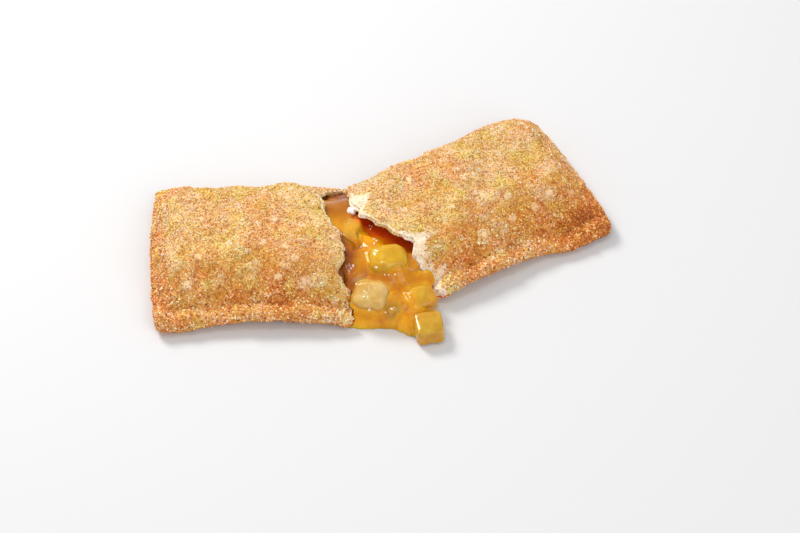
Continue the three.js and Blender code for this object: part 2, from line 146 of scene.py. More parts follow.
RIGHT = half(
    turn=30.5,
    name="right",
    side=1,
    length=75,
    seed=29,
    corner_front=3,
    corner_back=13,
    end_bow=2.2,
    end_bow_centre=4,
    bow=0.5,
    flare_front=(3.2, 44, 60),
    flare_back=(0.6, 40, 60),
    lift_front=2.9,
    lift_back=0.8,
    lift_end=0.5,
    lift_centre=24,
    dome_reach=(17, 19, 14),
    fill_drop=(4.5, 1.0),
    fill_turn=(7, 15),
    tongue_front=[(0, 0), (1, 0)],
    tear_top=[
        (-29.5, 8.4), (-27, 5.6), (-22, 6.2), (-19, 4.9), (-15, 4.9), (-12, 7.1), (-8.7, 5),
        (-2.8, 2.4), (3.6, -1.2), (8, -2.5), (15, -2.4), (21, 0.2), (25, 1), (29.5, 0),
    ],
    tear_bottom=[(-29.5, 8.4), (-15, 6), (0, 2), (12, -1.5), (21, -1.6), (29.5, 0)],
    lip_slant=[
        (-29.5, 0.5), (-26, 1.3), (-20, 1.0), (-15, 0.7), (-11, 1.0), (-6, 0.4), (0, 0.3),
        (8, 0.5), (13, 1.1), (20, 0.9), (24, 0.6), (29.5, 0.3),
    ],
    thinned=1.1,
    cave_stop=(40, 41),
    bare=[
        (-29.5, 2.4), (-26, 5.4), (-23, 5.4), (-20, 4.8), (-16, 4.6), (-12, 4.8), (-9, 2.6),
        (-5, 0.8), (1, 0.4), (5, 1.2), (9, 3.4), (13.5, 4.6), (17, 2.2), (22, 0.6), (29.5, 0.2),
    ],
)

# ------------------------------------------------------------------ small helpers


def clip01(value):
    """The value, held between 0 and 1."""
    return np.clip(value, 0.0, 1.0)


def mix(low, high, share):
    """A straight line from `low` at a share of 0 to `high` at a share of 1."""
    return low + (high - low) * share


def smooth(value, low, high):
    """0 below `low`, 1 above `high`, and 3t^2 - 2t^3 between them."""
    share = clip01((value - low) / (high - low))
    return share * share * (3 - 2 * share)


def bell(distance, width):
    """1 in the middle, falling off as e^-(distance / width)^2."""
    return np.exp(-((distance / width) ** 2))


def shoulder(distance, reach):
    """0 on an edge and 1 from `reach` inwards: the superellipse (1 - (1 - t)^2.6)^(1 / 2.6)."""
    inward = clip01(distance / reach)
    return np.maximum(1 - (1 - inward) ** 2.6, 0) ** (1 / 2.6)


def rise(distance, reach):
    """The dome's profile (1 - (1 - t)^2.2)^1.1, soft at the rim and flat over the crown."""
    inward = clip01(distance / reach)
    return (1 - (1 - inward) ** 2.2) ** 1.1


def eased(points, position):
    """A value from a list of (position, value), with 3t^2 - 2t^3 between neighbours."""
    places, values = np.array(points, float).T
    position = np.clip(position, places[0], places[-1])
    index = np.clip(np.searchsorted(places, position, side="right") - 1, 0, len(places) - 2)
    share = clip01((position - places[index]) / (places[index + 1] - places[index]))
    return mix(values[index], values[index + 1], share * share * (3 - 2 * share))


def smooth_max(one, other, reach):
    """The higher of two surfaces, blended by a parabola where they are within `reach`."""
    share = clip01(0.5 + 0.5 * (one - other) / reach)
    return mix(other, one, share) + reach * share * (1 - share)


def linear(colour):
    """A colour given as three numbers from 0 to 255, as a shader takes it."""
    value = np.array(colour, float) / 255
    return tuple(np.where(value <= 0.04045, value / 12.92, ((value + 0.055) / 1.055) ** 2.4))


def shader_colour(colour):
    """A colour as a shader takes it, from a setting or from three numbers from 0 to 255."""
    return tuple(colour) if isinstance(colour, Color) else linear(colour)


# ------------------------------------------------------------------ noise


def hashed(cells, seed):
    """A repeatable value from 0 to 1 for each whole-number cell of an (..., 3) array."""
    whole = cells.astype(np.int64).astype(np.uint32)
    mixed = whole[..., 0] * np.uint32(0x8DA6B343)
    mixed ^= whole[..., 1] * np.uint32(0xD8163841)
    mixed ^= whole[..., 2] * np.uint32(0xCB1AB31F)
    mixed ^= np.uint32((seed * 0x9E3779B1) % 2**32)
    mixed ^= mixed >> np.uint32(15)
    mixed *= np.uint32(0x2C1B3C6D)
    mixed ^= mixed >> np.uint32(12)
    mixed *= np.uint32(0x297A2D39)
    mixed ^= mixed >> np.uint32(15)
    return mixed / 2**32


def value_noise(points, size, seed):
    """Values hashed at the corners of cells `size` wide, eased between them; from -1 to 1."""
    scaled = points / size
    cell = np.floor(scaled)
    share = scaled - cell
    share = share * share * (3 - 2 * share)
    total = np.zeros(points.shape[:-1])
    for corner in np.ndindex(2, 2, 2):
        offset = np.array(corner)
        weight = np.prod(np.where(offset == 1, share, 1 - share), axis=-1)
        total += weight * hashed(cell + offset, seed)
    return 2 * total - 1


def fractal(points, size, seed, octaves=3):
    """Value noise summed at halved sizes and strengths; about -1 to 1."""
    total = sum(value_noise(points, size / 2**i, seed + i) / 2**i for i in range(octaves))
    return total / (2 - 2 / 2**octaves)


def cell_noise(points, size, seed):
    """The distance to the nearest of one random point per cell, in cells, and its own hash."""
    scaled = points / size
    home = np.floor(scaled)
    nearest = np.full(points.shape[:-1], 9.0)
    owner = np.zeros(points.shape[:-1])
    for step in np.ndindex(3, 3, 3):
        cell = home + np.array(step) - 1
        spot = cell + np.stack([hashed(cell, seed + axis) for axis in range(3)], axis=-1)
        away = np.linalg.norm(spot - scaled, axis=-1)
        closer = away < nearest
        nearest = np.where(closer, away, nearest)
        owner = np.where(closer, hashed(cell, seed + 3), owner)
    return nearest, owner


# ------------------------------------------------------------------ the crust's formulas
# As in the CAD part: `along` runs from the tear outwards, `across` from the front edge to the
# back edge of one half.


def seeded_random(seed):
    """The CAD part's stream of numbers from 0 to 1."""
    state = seed
    while True:
        state = (state * 1664525 + 1013904223) % 2**32
        yield state / 2**32


def blisters_of(pie):
    """Low round blisters as rows of along, across, radius and height."""
    draw = seeded_random(pie.seed)
    rows = np.array([[next(draw) for _ in range(4)] for _ in range(BLISTERS)])
    scale = np.array([pie.length, WIDTH, 3.2, 0.65])
    start = np.array([0, -WIDTH / 2, 2.2, 0.35])
    return rows * scale + start


for _pie in (LEFT, RIGHT):
    _pie.blisters = blisters_of(_pie)


def end_of(pie, across):
    """Where the sealed end lies, bowed and with two round corners."""
    radius = np.where(across < 0, pie.corner_front, pie.corner_back)
    corner = clip01((np.abs(across) - WIDTH / 2 + radius) / radius)
    bow = pie.end_bow * (1 - ((across - pie.end_bow_centre) / (WIDTH / 2)) ** 2)
    return pie.length + bow - radius * (1 - np.sqrt(np.maximum(1 - corner**2.4, 0)))


def distances(pie, along, across):
    """Distances to the front edge, the back edge and the sealed end."""
    return across + WIDTH / 2, WIDTH / 2 - across, end_of(pie, across) - along


def underside(pie, along, across):
    """How far the underside stands clear of the table: the highest of three eased lifts.

    The front edge rises by a bell along the half, the back edge and the end evenly.
    """
    front, back, end = distances(pie, along, across)
    bowl = bell(along - pie.lift_centre, LIFT_REACH)
    front_lift = pie.lift_front * bowl * (1 - smooth(front, 0, 16))
    back_lift = pie.lift_back * (1 - smooth(back, 0, 10))
    end_lift = pie.lift_end * (1 - smooth(end, 0, 9))
    return np.maximum(np.maximum(front_lift, back_lift), end_lift)


def rim_thickness(back):
    """The sealed rim's thickness: thin at the back edge, eased to its full value inwards."""
    return mix(RIM_THICK_BACK, RIM_THICK, smooth(back, 4, 20))


def edge_of(pie, along, across):
    """0 on the outline, 1 from EDGE_ROUND inwards: the product of three shoulders."""
    front, back, end = distances(pie, along, across)
    return shoulder(front, EDGE_ROUND) * shoulder(back, EDGE_ROUND) * shoulder(end, EDGE_ROUND)


def relief(pie, along, across):
    """The relief of the fried dough: three crossing sine waves, and a bell for each blister."""
    total = (
        0.4 * np.sin(0.21 * along + 1.3) * np.cos(0.17 * across + 0.4)
        + 0.28 * np.sin(0.36 * along - 0.29 * across + 2.1)
        + 0.2 * np.sin(0.13 * along + 0.47 * across)
    )
    for at, over, radius, height in pie.blisters:
        total = total + height * bell(np.hypot(along - at, across - over), radius)
    return total


def top_of(pie, along, across):
    """The upper side: the rim's round shoulder, a dome that is a product of three rises, less
    the crease between them, plus the relief."""
    front, back, end = distances(pie, along, across)
    edge = edge_of(pie, along, across)
    front_reach, back_reach, end_reach = pie.dome_reach
    dome = rise(front - DOME_FRONT, front_reach) * rise(back - DOME_BACK, back_reach)
    dome = dome * rise(end - DOME_END, end_reach)
    crease = CREASE_DEPTH * bell(front - DOME_FRONT, CREASE_WIDTH) * smooth(end, 2, 8)
    middle = rim_thickness(back) / 2
    level = underside(pie, along, across) + middle + middle * edge
    shape = (HEIGHT - 2 * middle) * dome - crease * edge
    return level + shape + relief(pie, along, across) * edge


def lip_top(pie, along, across, edge):
    """The top, drawn down by up to `thinned` where the crust thins out towards the torn `edge`."""
    away = np.maximum(along - edge, 0)
    middle = smooth(WIDTH / 2 - np.abs(across), 1, 6)
    return top_of(pie, along, across) - pie.thinned * np.exp(-((away / 2.4) ** 1.5)) * middle


def bottom_of(pie, along, across):
    """The lower side: the lift, and the rim's round shoulder turned upside down."""
    middle = rim_thickness(WIDTH / 2 - across) / 2
    return underside(pie, along, across) + middle * (1 - edge_of(pie, along, across))


def tear_at(pie, points, across):
    """The torn edge: a list eased between its points, with fine teeth of two sine waves."""
    teeth = 0.25 * np.sin(0.9 * across + pie.seed) + 0.06 * np.sin(1.9 * across + 2 * pie.seed)
    return eased(points, across) + teeth * smooth(WIDTH / 2 - np.abs(across), 0, 4)


def flare(settings, along):
    """How far an edge flares outwards: nothing before `start`, `distance` after `stop`."""
    distance, start, stop = settings
    return distance * smooth(along, start, stop)


def bowed(pie, along, across):
    """Where a point across the half comes to lie through the outline's bow and flares, which
    fade with the cube of the distance from the edge they move."""
    near_front = (0.5 - across / WIDTH) ** 3
    near_back = (0.5 + across / WIDTH) ** 3
    bow = pie.bow * bell(along - pie.lift_centre, LIFT_REACH)
    inwards = bow - flare(pie.flare_front, along) + eased(pie.tongue_front, along)
    return across + inwards * near_front + flare(pie.flare_back, along) * near_back


def placed(pie, along, across, up):
    """From a half's own frame to the pie's frame, as (..., 3) points."""
    along, across, up = np.broadcast_arrays(along, across, up)
    x = pie.side * along
    y = across - (WIDTH / 2 - HINGE)
    return np.stack([x * pie.cos - y * pie.sin, x * pie.sin + y * pie.cos - HINGE, up], axis=-1)


def own_frame(pie, x, y):
    """From the pie's frame back to a half's own along and across, as `placed` turns and moves
    them, without the bow."""
    y = y + HINGE
    turned_x = x * pie.cos + y * pie.sin
    turned_y = -x * pie.sin + y * pie.cos
    return pie.side * turned_x, turned_y + (WIDTH / 2 - HINGE)


# ------------------------------------------------------------------ surfaces


def grid_triangles(rows, columns, start=0, turned=False):
    """The triangles of a grid of rows * columns points that begin at index `start`."""
    index = start + np.arange(rows * columns).reshape(rows, columns)
    a, b, c, d = index[:-1, :-1], index[:-1, 1:], index[1:, 1:], index[1:, :-1]
    faces = np.concatenate([np.stack([a, b, c], -1), np.stack([a, c, d], -1)]).reshape(-1, 3)
    return faces[:, ::-1] if turned else faces


def surface(sheets, **marks):
    """One closed mesh from grids of points that share their borders.

    `sheets` holds (points, turned) pairs. Points that coincide become one, flat triangles go,
    and the faces are turned outwards. Each mark is a list with one array per sheet.
    """
    points = []
    faces = []
    start = 0
    for grid, turned in sheets:
        rows, columns = grid.shape[:2]
        faces.append(grid_triangles(rows, columns, start, turned))
        points.append(grid.reshape(-1, 3))
        start += rows * columns
    points = np.concatenate(points)
    faces = np.concatenate(faces)
    keys = np.round(points / 1e-4).astype(np.int64)
    _, first, inverse = np.unique(keys, axis=0, return_index=True, return_inverse=True)
    faces = inverse.reshape(-1)[faces]
    kept = {}
    for name, arrays in marks.items():
        kept[name] = np.concatenate([np.ravel(array) for array in arrays])[first]
    made = trimmed(points[first], faces, kept)
    if volume(made) < 0:
        made.faces = made.faces[:, ::-1]
    return made


def trimmed(points, faces, marks):
    """A body without flat triangles, without doubled ones and without unused points."""
    a, b, c = faces.T
    faces = faces[(a != b) & (b != c) & (c != a)]
    faces = faces[single(faces)]
    used, faces = np.unique(faces, return_inverse=True)
    kept = {name: values[used] for name, values in marks.items()}
    return SimpleNamespace(points=points[used], faces=faces.reshape(-1, 3), marks=kept)


def single(faces):
    """Which triangles lie alone: two over the same three points cancel each other out."""
    corners = np.sort(faces, axis=1)
    _, owner, count = np.unique(corners, axis=0, return_inverse=True, return_counts=True)
    return count[owner.reshape(-1)] == 1


def volume(body):
    """The sum of the tetrahedra from the origin to each face; negative if inside out."""
    a, b, c = (body.points[body.faces[:, i]] for i in range(3))
    return np.einsum("ij,ij->i", a, np.cross(b, c)).sum() / 6


def face_normals(body):
    """Normals as long as twice the faces' areas."""
    a, b, c = (body.points[body.faces[:, i]] for i in range(3))
    return np.cross(b - a, c - a)


def point_normals(body):
    """Unit normals at the points, from the faces round each."""
    normals = face_normals(body)
    count = len(body.points)
    total = np.zeros((count, 3))
    for corner in range(3):
        for axis in range(3):
            at = body.faces[:, corner]
            total[:, axis] += np.bincount(at, weights=normals[:, axis], minlength=count)
    return total / np.maximum(np.linalg.norm(total, axis=1, keepdims=True), 1e-12)


def add_piece(name, body, slot, replaced=(), material=None, flat=False):
    """Puts a body into the scene as a piece that rides on the pie."""
    mesh = bpy.data.meshes.new(name)
    mesh.vertices.add(len(body.points))
    mesh.vertices.foreach_set("co", ((body.points + ORIGIN) * MM).astype(np.float32).ravel())
    mesh.loops.add(body.faces.size)
    mesh.loops.foreach_set("vertex_index", body.faces.astype(np.int32).ravel())
    mesh.polygons.add(len(body.faces))
    mesh.polygons.foreach_set("loop_start", np.arange(0, body.faces.size, 3, dtype=np.int32))
    mesh.polygons.foreach_set("use_smooth", np.full(len(body.faces), not flat))
    for mark, values in body.marks.items():
        if values.ndim == 1:
            attribute = mesh.attributes.new(mark, "FLOAT", "POINT")
            attribute.data.foreach_set("value", values.astype(np.float32))
        else:
            attribute = mesh.attributes.new(mark, "FLOAT_COLOR", "POINT")
            rgba = np.concatenate([values, np.ones((len(values), 1))], axis=1)
            attribute.data.foreach_set("color", rgba.astype(np.float32).ravel())
    mesh.update(calc_edges=True)
    if mesh.validate():
        raise RuntimeError(f"the mesh of {name} had faces that aren't valid")
    piece = bpy.data.objects.new(name, mesh)
    bpy.context.scene.collection.objects.link(piece)
    if material is not None:
        mesh.materials.append(material)
    if slot is not None:
        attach(piece, "root")
    if replaced:
        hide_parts(*replaced)
    return piece


# ------------------------------------------------------------------ the crust's meshes
# All in millimetres but CROWN_PRESS.
GRID_STEP = 0.36  # between the lines of a crust's grid
TABLE_GAP = 0.03  # no point of a mesh lies lower than this,
SKIN_GAP = 0.02  # or this, for the crust and its grains
# Distances from an edge to the grid's lines over its round shoulder, closest at the edge.
EDGE_LINES = EDGE_ROUND * (1 - np.cos(np.linspace(0, math.pi / 2, 13)))
CAVE_DEPTH = 17.0  # how far the mouth's hollow is built inwards,
CAVE_STOPPED = 1.5  # and how far where a wall closes it
CROWN = 18.9  # the bumps are pressed down above this height,
CROWN_PRESS = 0.7  # by this share
BUBBLE_CELL = 3.4  # each such cell of the skin has one bubble,
LUMP_CELL = 5.4  # one lump of the fried dough
CRUMB_CELL = 1.5  # or, on the tear, one crumb


def across_lines(step):
    """Lines across a half, closer and closer towards both edges."""
    inner = WIDTH / 2 - EDGE_ROUND
    count = max(int(2 * inner / step), 8)
    between = np.linspace(-inner, inner, count)[1:-1]
    return np.concatenate([EDGE_LINES - WIDTH / 2, between, WIDTH / 2 - EDGE_LINES[::-1]])


def along_lines(start, end, rows):
    """Lines from the tear to the sealed end, closer and closer towards the end."""
    share = np.linspace(0, 1, rows)[:, None]
    near_end = end - EDGE_LINES[::-1, None]
    return np.concatenate([mix(start, end - EDGE_ROUND, share)[:-1], near_end])


def hollow_at(pie, along, across):
    """Middle height and half thickness of the hollow, which closes towards the sealed rims."""
    inside = np.minimum(along, end_of(pie, across) - RIM_END)
    roof = top_of(pie, inside, across) - CRUST
    floor = bottom_of(pie, inside, across) + CRUST
    nearest = np.minimum(across + WIDTH / 2 - RIM_FRONT, WIDTH / 2 - RIM_BACK - across)
    closing = shoulder(nearest, CAVITY_ROUND)
    return (roof + floor) / 2, np.maximum((roof - floor) / 2, LEAST_HOLLOW) * closing, closing


def mouth(pie, tear, across, slant):
    """The torn opening as one profile for each column.

    From the top edge down the torn face of the top crust, in along the roof, down a wall
    CAVE_DEPTH inside, out along the floor and down the torn face of the bottom crust. Where the
    hollow closes towards the rims the roof and the floor fall together, and a torn face is left.
    """
    lip, roof, wall, floor, low_lip = (np.linspace(0, 1, n)[:, None] for n in (10, 18, 6, 14, 7))
    _, _, closing = hollow_at(pie, tear, across)
    stop = smooth(across, *pie.cave_stop)
    deep = mix(CAVE_DEPTH, CAVE_STOPPED, stop) * closing - slant / 2 * (1 - closing)

    def level(depth, side):
        """The roof (side 1) or the floor (side -1) of the hollow."""
        middle, thick, _ = hollow_at(pie, tear + depth, across)
        return middle + side * thick

    lip_depth = slant / 2 - slant * lip + 0.35 * np.sin(math.pi * lip) * np.minimum(slant, 1)
    edge = tear + slant / 2
    lip_up = mix(lip_top(pie, edge, across, edge), level(-slant / 2, 1), lip)
    roof_depth = mix(-slant / 2, deep, roof)
    floor_depth = mix(deep, 0, floor)
    deep_top, deep_bottom = level(deep, 1), level(deep, -1)
    low_up = mix(level(0 * deep, -1), bottom_of(pie, tear, across), low_lip)
    depths = [
        lip_depth,
        roof_depth[1:],
        deep + 0 * wall[1:],
        floor_depth[1:],
        0 * low_lip[1:] + 0 * deep,
    ]
    ups = [
        lip_up,
        level(roof_depth, 1)[1:],
        mix(deep_top, deep_bottom, wall)[1:],
        level(floor_depth, -1)[1:],
        low_up[1:],
    ]
    depth = np.concatenate([np.broadcast_to(d, (len(d), len(across))) for d in depths])
    up = np.concatenate(ups)
    counts = len(lip), len(roof) + len(wall) + len(floor) - 3, len(low_lip) - 1
    white = lip_white(pie, across)
    torn = np.repeat([white, 0 * white, 1 + 0 * white], counts, axis=0)
    torn = np.maximum(torn, white * (1 - smooth(closing, 0, 0.6)))
    inside = np.repeat([0 * white, 1 - 0.7 * stop, 0 * white], counts, axis=0)
    return tear + depth, up, torn, inside


def crust_body(pie):
    """One half's crust: an upper and a lower sheet that share their outline, and the mouth."""
    across = across_lines(GRID_STEP)
    rows = int(pie.length / GRID_STEP)
    end = end_of(pie, across)
    line = on_line(across)
    crumbly = 0.7 * fractal(line, 2.6, 150 + pie.seed)
    crumbly = crumbly + 0.2 * fractal(line, 0.8, 160 + pie.seed, 2)
    tear = tear_at(pie, pie.tear_top, across) + crumbly * smooth(WIDTH / 2 - np.abs(across), 0, 3)
    slant = eased(pie.lip_slant, across) * smooth(WIDTH / 2 - np.abs(across), 0, 2.5)
    upper_along = along_lines(tear + slant / 2, end, rows)
    lower_along = along_lines(tear, end, rows)
    upper_up = lip_top(pie, upper_along, across, tear + slant / 2)
    top = placed_sheet(pie, upper_along, across, upper_up)
    bottom = placed_sheet(pie, lower_along, across, bottom_of(pie, lower_along, across))
    mouth_along, mouth_up, torn, inside = mouth(pie, tear, across, slant)
    mouth_up[:, [0, -1]] = top_of(pie, tear, across)[[0, -1]]
    mouth_along[:, [0, -1]] = tear[[0, -1]]
    opening = placed_sheet(pie, mouth_along, across, mouth_up)
    opening[0] = top[0]
    opening[-1] = bottom[0]
    wide = np.broadcast_to(across, upper_along.shape)
    return surface(
        [(top, False), (bottom, True), (opening, True)],
        torn=[bare_dough(pie, upper_along, across, tear + slant / 2), 0 * lower_along, torn],
        inside=[0 * upper_along, 0 * lower_along, inside],
        under=[0 * upper_along, 1 + 0 * lower_along, 0 * mouth_up],
        along=[upper_along, lower_along, mouth_along],
        across=[wide, wide, np.broadcast_to(across, mouth_up.shape)],
    )


def on_line(across):
    """Points for noise that varies across the half alone."""
    return np.stack([across, 0 * across, 0 * across], axis=-1)


def placed_sheet(pie, along, across, up):
    """A grid in a half's own frame, bowed and placed in the pie's frame."""
    return placed(pie, along, bowed(pie, along, across), up)


def lip_white(pie, across):
    """How bare the torn face is: most where the bare dough behind it is wide."""
    flaky = fractal(on_line(across), 3.0, 180 + pie.seed)
    return clip01(0.25 + 0.4 * eased(pie.bare, across) + 0.5 * flaky)


def bare_dough(pie, along, across, edge):
    """Bare dough behind the torn edge, where the coat has come off, with a ragged border."""
    flat = np.stack(np.broadcast_arrays(along, across, 0 * along), axis=-1)
    reach = eased(pie.bare, across) * (1 + 0.7 * value_noise(flat, 2.6, 170))
    ragged = fractal(flat, 2.4, 140 + pie.seed) * (0.25 + 0.55 * reach)
    return 0.85 * (1 - smooth(along - edge + ragged, 0.5 * reach, 1.15 * reach + 0.1))


def roughened(pie, body):
    """Moves the points along their normals.

    The skin has noise of three sizes, and domes sqrt(1 - r^2) for its bubbles and lumps, which
    stand out most on the front slope. The tear has crumbs, and the inside is a little uneven.
    """
    points = body.points
    front, back, end = distances(pie, body.marks["along"], body.marks["across"])
    from_rim = np.minimum(np.minimum(front - RIM_FRONT, back - RIM_BACK), end - RIM_END)
    rim = 1 - smooth(from_rim, -1, 3)
    torn = body.marks["torn"]
    inside = body.marks["inside"]
    under = body.marks["under"]
    slope = bell(front - 12.5, 8.5) * (1 - under)
    away, owner = cell_noise(points, BUBBLE_CELL, 31)
    bubbles = np.sqrt(np.maximum(1 - (away / 0.5) ** 2, 0)) * smooth(owner, 0.45, 0.75)
    tops = bubbles * smooth(owner, 0.84, 0.9)
    bent = points + 0.8 * value_noise(points, 2.5, 17)[:, None]
    lump_away, lump_owner = cell_noise(bent, LUMP_CELL, 131)
    lumps = np.sqrt(np.maximum(1 - (lump_away / 0.62) ** 2, 0)) * smooth(lump_owner, 0.2, 0.6)
    skin = (
        0.24 * fractal(points, 4.2, 3)
        + 0.2 * fractal(points, 1.3, 7, 2)
        + (0.12 + 0.22 * rim) * bubbles
        + 0.22 * tops
        + (0.1 + 0.62 * slope) * (lumps - 0.35)
        + 0.3 * rim * fractal(points, 3.0, 12, 2)
    )
    crumb_away, crumb_owner = cell_noise(points, CRUMB_CELL, 57)
    crumbs = 0.8 * (0.5 - crumb_away) * (0.4 + crumb_owner) + 0.3 * fractal(points, 2.2, 61, 3)
    cave = 0.2 * fractal(points, 3.0, 71, 2)
    plain = np.maximum(0, 1 - torn - inside)
    amount = plain * skin * np.where(under > 0.5, 0.6, 1) + torn * crumbs + inside * cave
    made = SimpleNamespace(points=points, faces=body.faces, marks=dict(body.marks))
    made.points = points + point_normals(body) * amount[:, None]
    made.points[:, 2] -= CROWN_PRESS * np.maximum(made.points[:, 2] - CROWN, 0)
    made.marks["rim"] = rim
    pale = 0.3 * lumps * smooth(lump_owner, 0.72, 0.85) + 0.8 * tops
    made.marks["pale"] = clip01(pale) * (1 - rim)
    # The hollows between the lumps on the front slope, which take painted shade: browner dough and
    # thinner sugar.
    made.marks["hollow"] = slope * (1 - lumps)
    return made


def brown_and_shade(pie, body):
    """How brown the crust is, with painted shade between the lumps, from 0 to 1: a weighted sum
    of noise and marks.

    The rim, the crease and the underside are browner, and the hollows between the lumps on the
    front slope are darker as painted shade; the tops of the bubbles and the strip along the tear
    are paler, and the right half's far front corner is darkest.
    """
    along, across = body.marks["along"], body.marks["across"]
    front, _, end = distances(pie, along, across)
    crease = bell(front - RIM_FRONT - 0.6, 2.4)
    patches = fractal(body.points, 9.0, 83, 3)
    spots = 0.35 * body.marks["rim"] * np.maximum(fractal(body.points, 6.0, 85, 3), 0)
    brown = 0.2 + 0.2 * patches + 0.08 * body.marks["rim"] + 0.06 * crease
    brown = brown + 0.25 * body.marks["under"] + spots
    # Painted shade: the hollows between the lumps are made browner where shade would fall in them.
    brown = brown + 0.24 * body.marks["hollow"] - 0.3 * body.marks["pale"]
    brown = brown - 0.17 * bell(along - tear_at(pie, pie.tear_top, across), 11)
    if pie is RIGHT:
        brown = brown + 0.42 * smooth(along, 48, 66) * (1 - smooth(front, 4, 12))
    return clip01(brown)


def flap_body(pie, grow=0.0, rows=48, step=GRID_STEP):
    """The bottom crust beyond the tear: a thin slab with rounded edges, thinned where it laps."""
    across = np.minimum(across_lines(step), WIDTH / 2 - 3)
    top = tear_at(pie, pie.tear_top, across)
    start = np.minimum(tear_at(pie, pie.tear_bottom, across), top)
    share = np.linspace(0, 1, rows)[:, None]
    along = start + (top + FLAP_LAP - start) * share**1.6
    edge = shoulder(along - start, FLAP_EDGE) * shoulder(across + WIDTH / 2, FLAP_EDGE)
    level = underside(pie, along, across) + CRUST / 2
    lapped = 0.14 * smooth(along - top, -1.2, 0.4) if grow == 0 else 0
    thick = np.maximum(CRUST / 2 * edge - lapped * edge, 0) + grow
    outward = grow * (2 * share - 1)
    sideways = bowed(pie, along, across) * (1 + 2 * grow / WIDTH)
    sheets = [placed(pie, along + outward, sideways, level + side * thick) for side in (1, -1)]
    return closed_slab(
        *sheets,
        along=[along] * 2,
        across=[np.broadcast_to(across, along.shape)] * 2,
        torn=[bell(along - start, 1.0)] * 2,
        under=[0 * along, 1 + 0 * along],
    )


def closed_slab(upper, lower, **marks):
    """Two sheets over one grid with a wall of quads round their edges."""
    wall = np.stack([border(upper), border(lower)])
    for name, values in marks.items():
        marks[name] = [*values, np.stack([border(value[..., None])[:, 0] for value in values])]
    return surface([(upper, False), (lower, True), (wall, True)], **marks)


def border(grid):
    """The points round the edge of a grid, back to where they began."""
    parts = [grid[0, :-1], grid[:-1, -1], grid[-1, :0:-1], grid[::-1, 0]]
    return np.concatenate(parts)


# ------------------------------------------------------------------ grains
GRAIN_SPREAD = 0.28  # how much the grains differ in size, as the spread of its logarithm
GRAIN_LIFT = 0.2  # how far a grain's middle lies above the crust, as a share of its radius
GRAIN_CORNERS = np.repeat(np.eye(3), 2, axis=0) * np.tile([1, -1], 3)[:, None]
GRAIN_FACES = np.array(
    [[0, 2, 4], [2, 1, 4], [1, 3, 4], [3, 0, 4], [2, 0, 5], [1, 2, 5], [3, 1, 5], [0, 3, 5]]
)


def random_turns(rng, count):
    """Random rotation matrices, from unit quaternions."""
    w, x, y, z = (q := rng.normal(size=(4, count))) / np.linalg.norm(q, axis=0)
    rows = [
        [1 - 2 * (y * y + z * z), 2 * (x * y - z * w), 2 * (x * z + y * w)],
        [2 * (x * y + z * w), 1 - 2 * (x * x + z * z), 2 * (y * z - x * w)],
        [2 * (x * z - y * w), 2 * (y * z + x * w), 1 - 2 * (x * x + y * y)],
    ]
    return np.moveaxis(np.array(rows), 2, 0)


def grain_faces(count):
    """The triangles of `count` octahedra, one after another."""
    return (GRAIN_FACES + 6 * np.arange(count)[:, None, None]).reshape(-1, 3)


def grains(body, weight, count, size, seed):
    """Lumpy octahedra strewn over a body, as one mesh.

    Faces are drawn by their area times the mean `weight` of their corners, and places on them
    evenly. `size` has one value per point of the body. A grain's own size is that times
    e^(a normal draw), and its middle lies a little above the surface.
    """
    rng = np.random.default_rng(seed)
    share = np.linalg.norm(face_normals(body), axis=1) * weight[body.faces].mean(axis=1)
    total = np.cumsum(share)
    face = body.faces[np.searchsorted(total, rng.random(count) * total[-1])]
    root, other = np.sqrt(rng.random(count)), rng.random(count)
    shares = np.stack([1 - root, root * (1 - other), root * other], axis=1)[..., None]
    at = (body.points[face] * shares).sum(axis=1)
    normal = (point_normals(body)[face] * shares).sum(axis=1)
    radius = size[face[:, 0]] / 2 * np.exp(np.minimum(rng.normal(0, GRAIN_SPREAD, count), 0.5))
    shape = GRAIN_CORNERS * (1 + rng.uniform(-0.3, 0.3, (count, 6, 1)))
    shape = shape + rng.uniform(-0.22, 0.22, (count, 6, 3))
    shape *= rng.uniform(0.75, 1.2, (count, 1, 3)) * radius[:, None, None]
    shape = np.einsum("nij,nkj->nki", random_turns(rng, count), shape)
    centre = at + normal * (radius * GRAIN_LIFT * rng.uniform(0.4, 1.3, count))[:, None]
    corners = (shape + centre[:, None]).reshape(-1, 3)
    corners[:, 2] = np.maximum(corners[:, 2], SKIN_GAP)
    own = rng.normal(0, 0.21, count)
    pale = body.marks["pale"][face[:, 0]]
    coarse_here = body.marks["coarse"][face[:, 0]]
    tone = 0.5 + 0.55 * value_noise(at, 1.0, 95) + 0.5 * pale + own * (1 + 0.8 * coarse_here)
    marks = {
        "tone": np.repeat(clip01(tone + 0.15 * coarse_here), 6),
        "brown": np.repeat(body.marks["brown"][face[:, 0]], 6),
        "hue": np.repeat(1.25 * fractal(at, 4.5, 91, 3) - 0.9 * pale - 0.35 * coarse_here + own, 6),
    }
    return SimpleNamespace(points=corners, faces=grain_faces(count), marks=marks)


# The kinds of grain: pale and deep colour (no pale one means the setting's), size and number as a
# share of the settings', how thickly each lies on pale crust and how much more on brown crust, and
# how much light goes through it.
GRAIN_COLUMNS = ("name", "pale", "deep", "size", "share", "on_pale", "on_brown", "clear")
GRAINS = [
    SimpleNamespace(**dict(zip(GRAIN_COLUMNS, kind)))
    for kind in (
        ("sugar_cream", None, (242, 216, 174), 1.05, 1, 1.25, -0.8, 0.3),
        ("sugar_gold", (246, 208, 128), (218, 170, 88), 1, 1, 1.0, 0, 0.3),
        ("sugar_tan", (216, 160, 74), (186, 118, 38), 0.95, 1, 0.6, 0.9, 0.3),
        ("cinnamon", (188, 106, 32), (140, 68, 14), 0.75, 0.25, 0.35, 1.5, 0.0),
    )
]


def coarse(pie, body):
    """Where the coarser sugar has gathered: the rims, most of all the front ones."""
    front, _, _ = distances(pie, body.marks["along"], body.marks["across"])
    at_front = 0.6 if pie is RIGHT else 0.35
    return clip01(0.7 * body.marks["rim"] + at_front * (1 - smooth(front, 9, 17)))


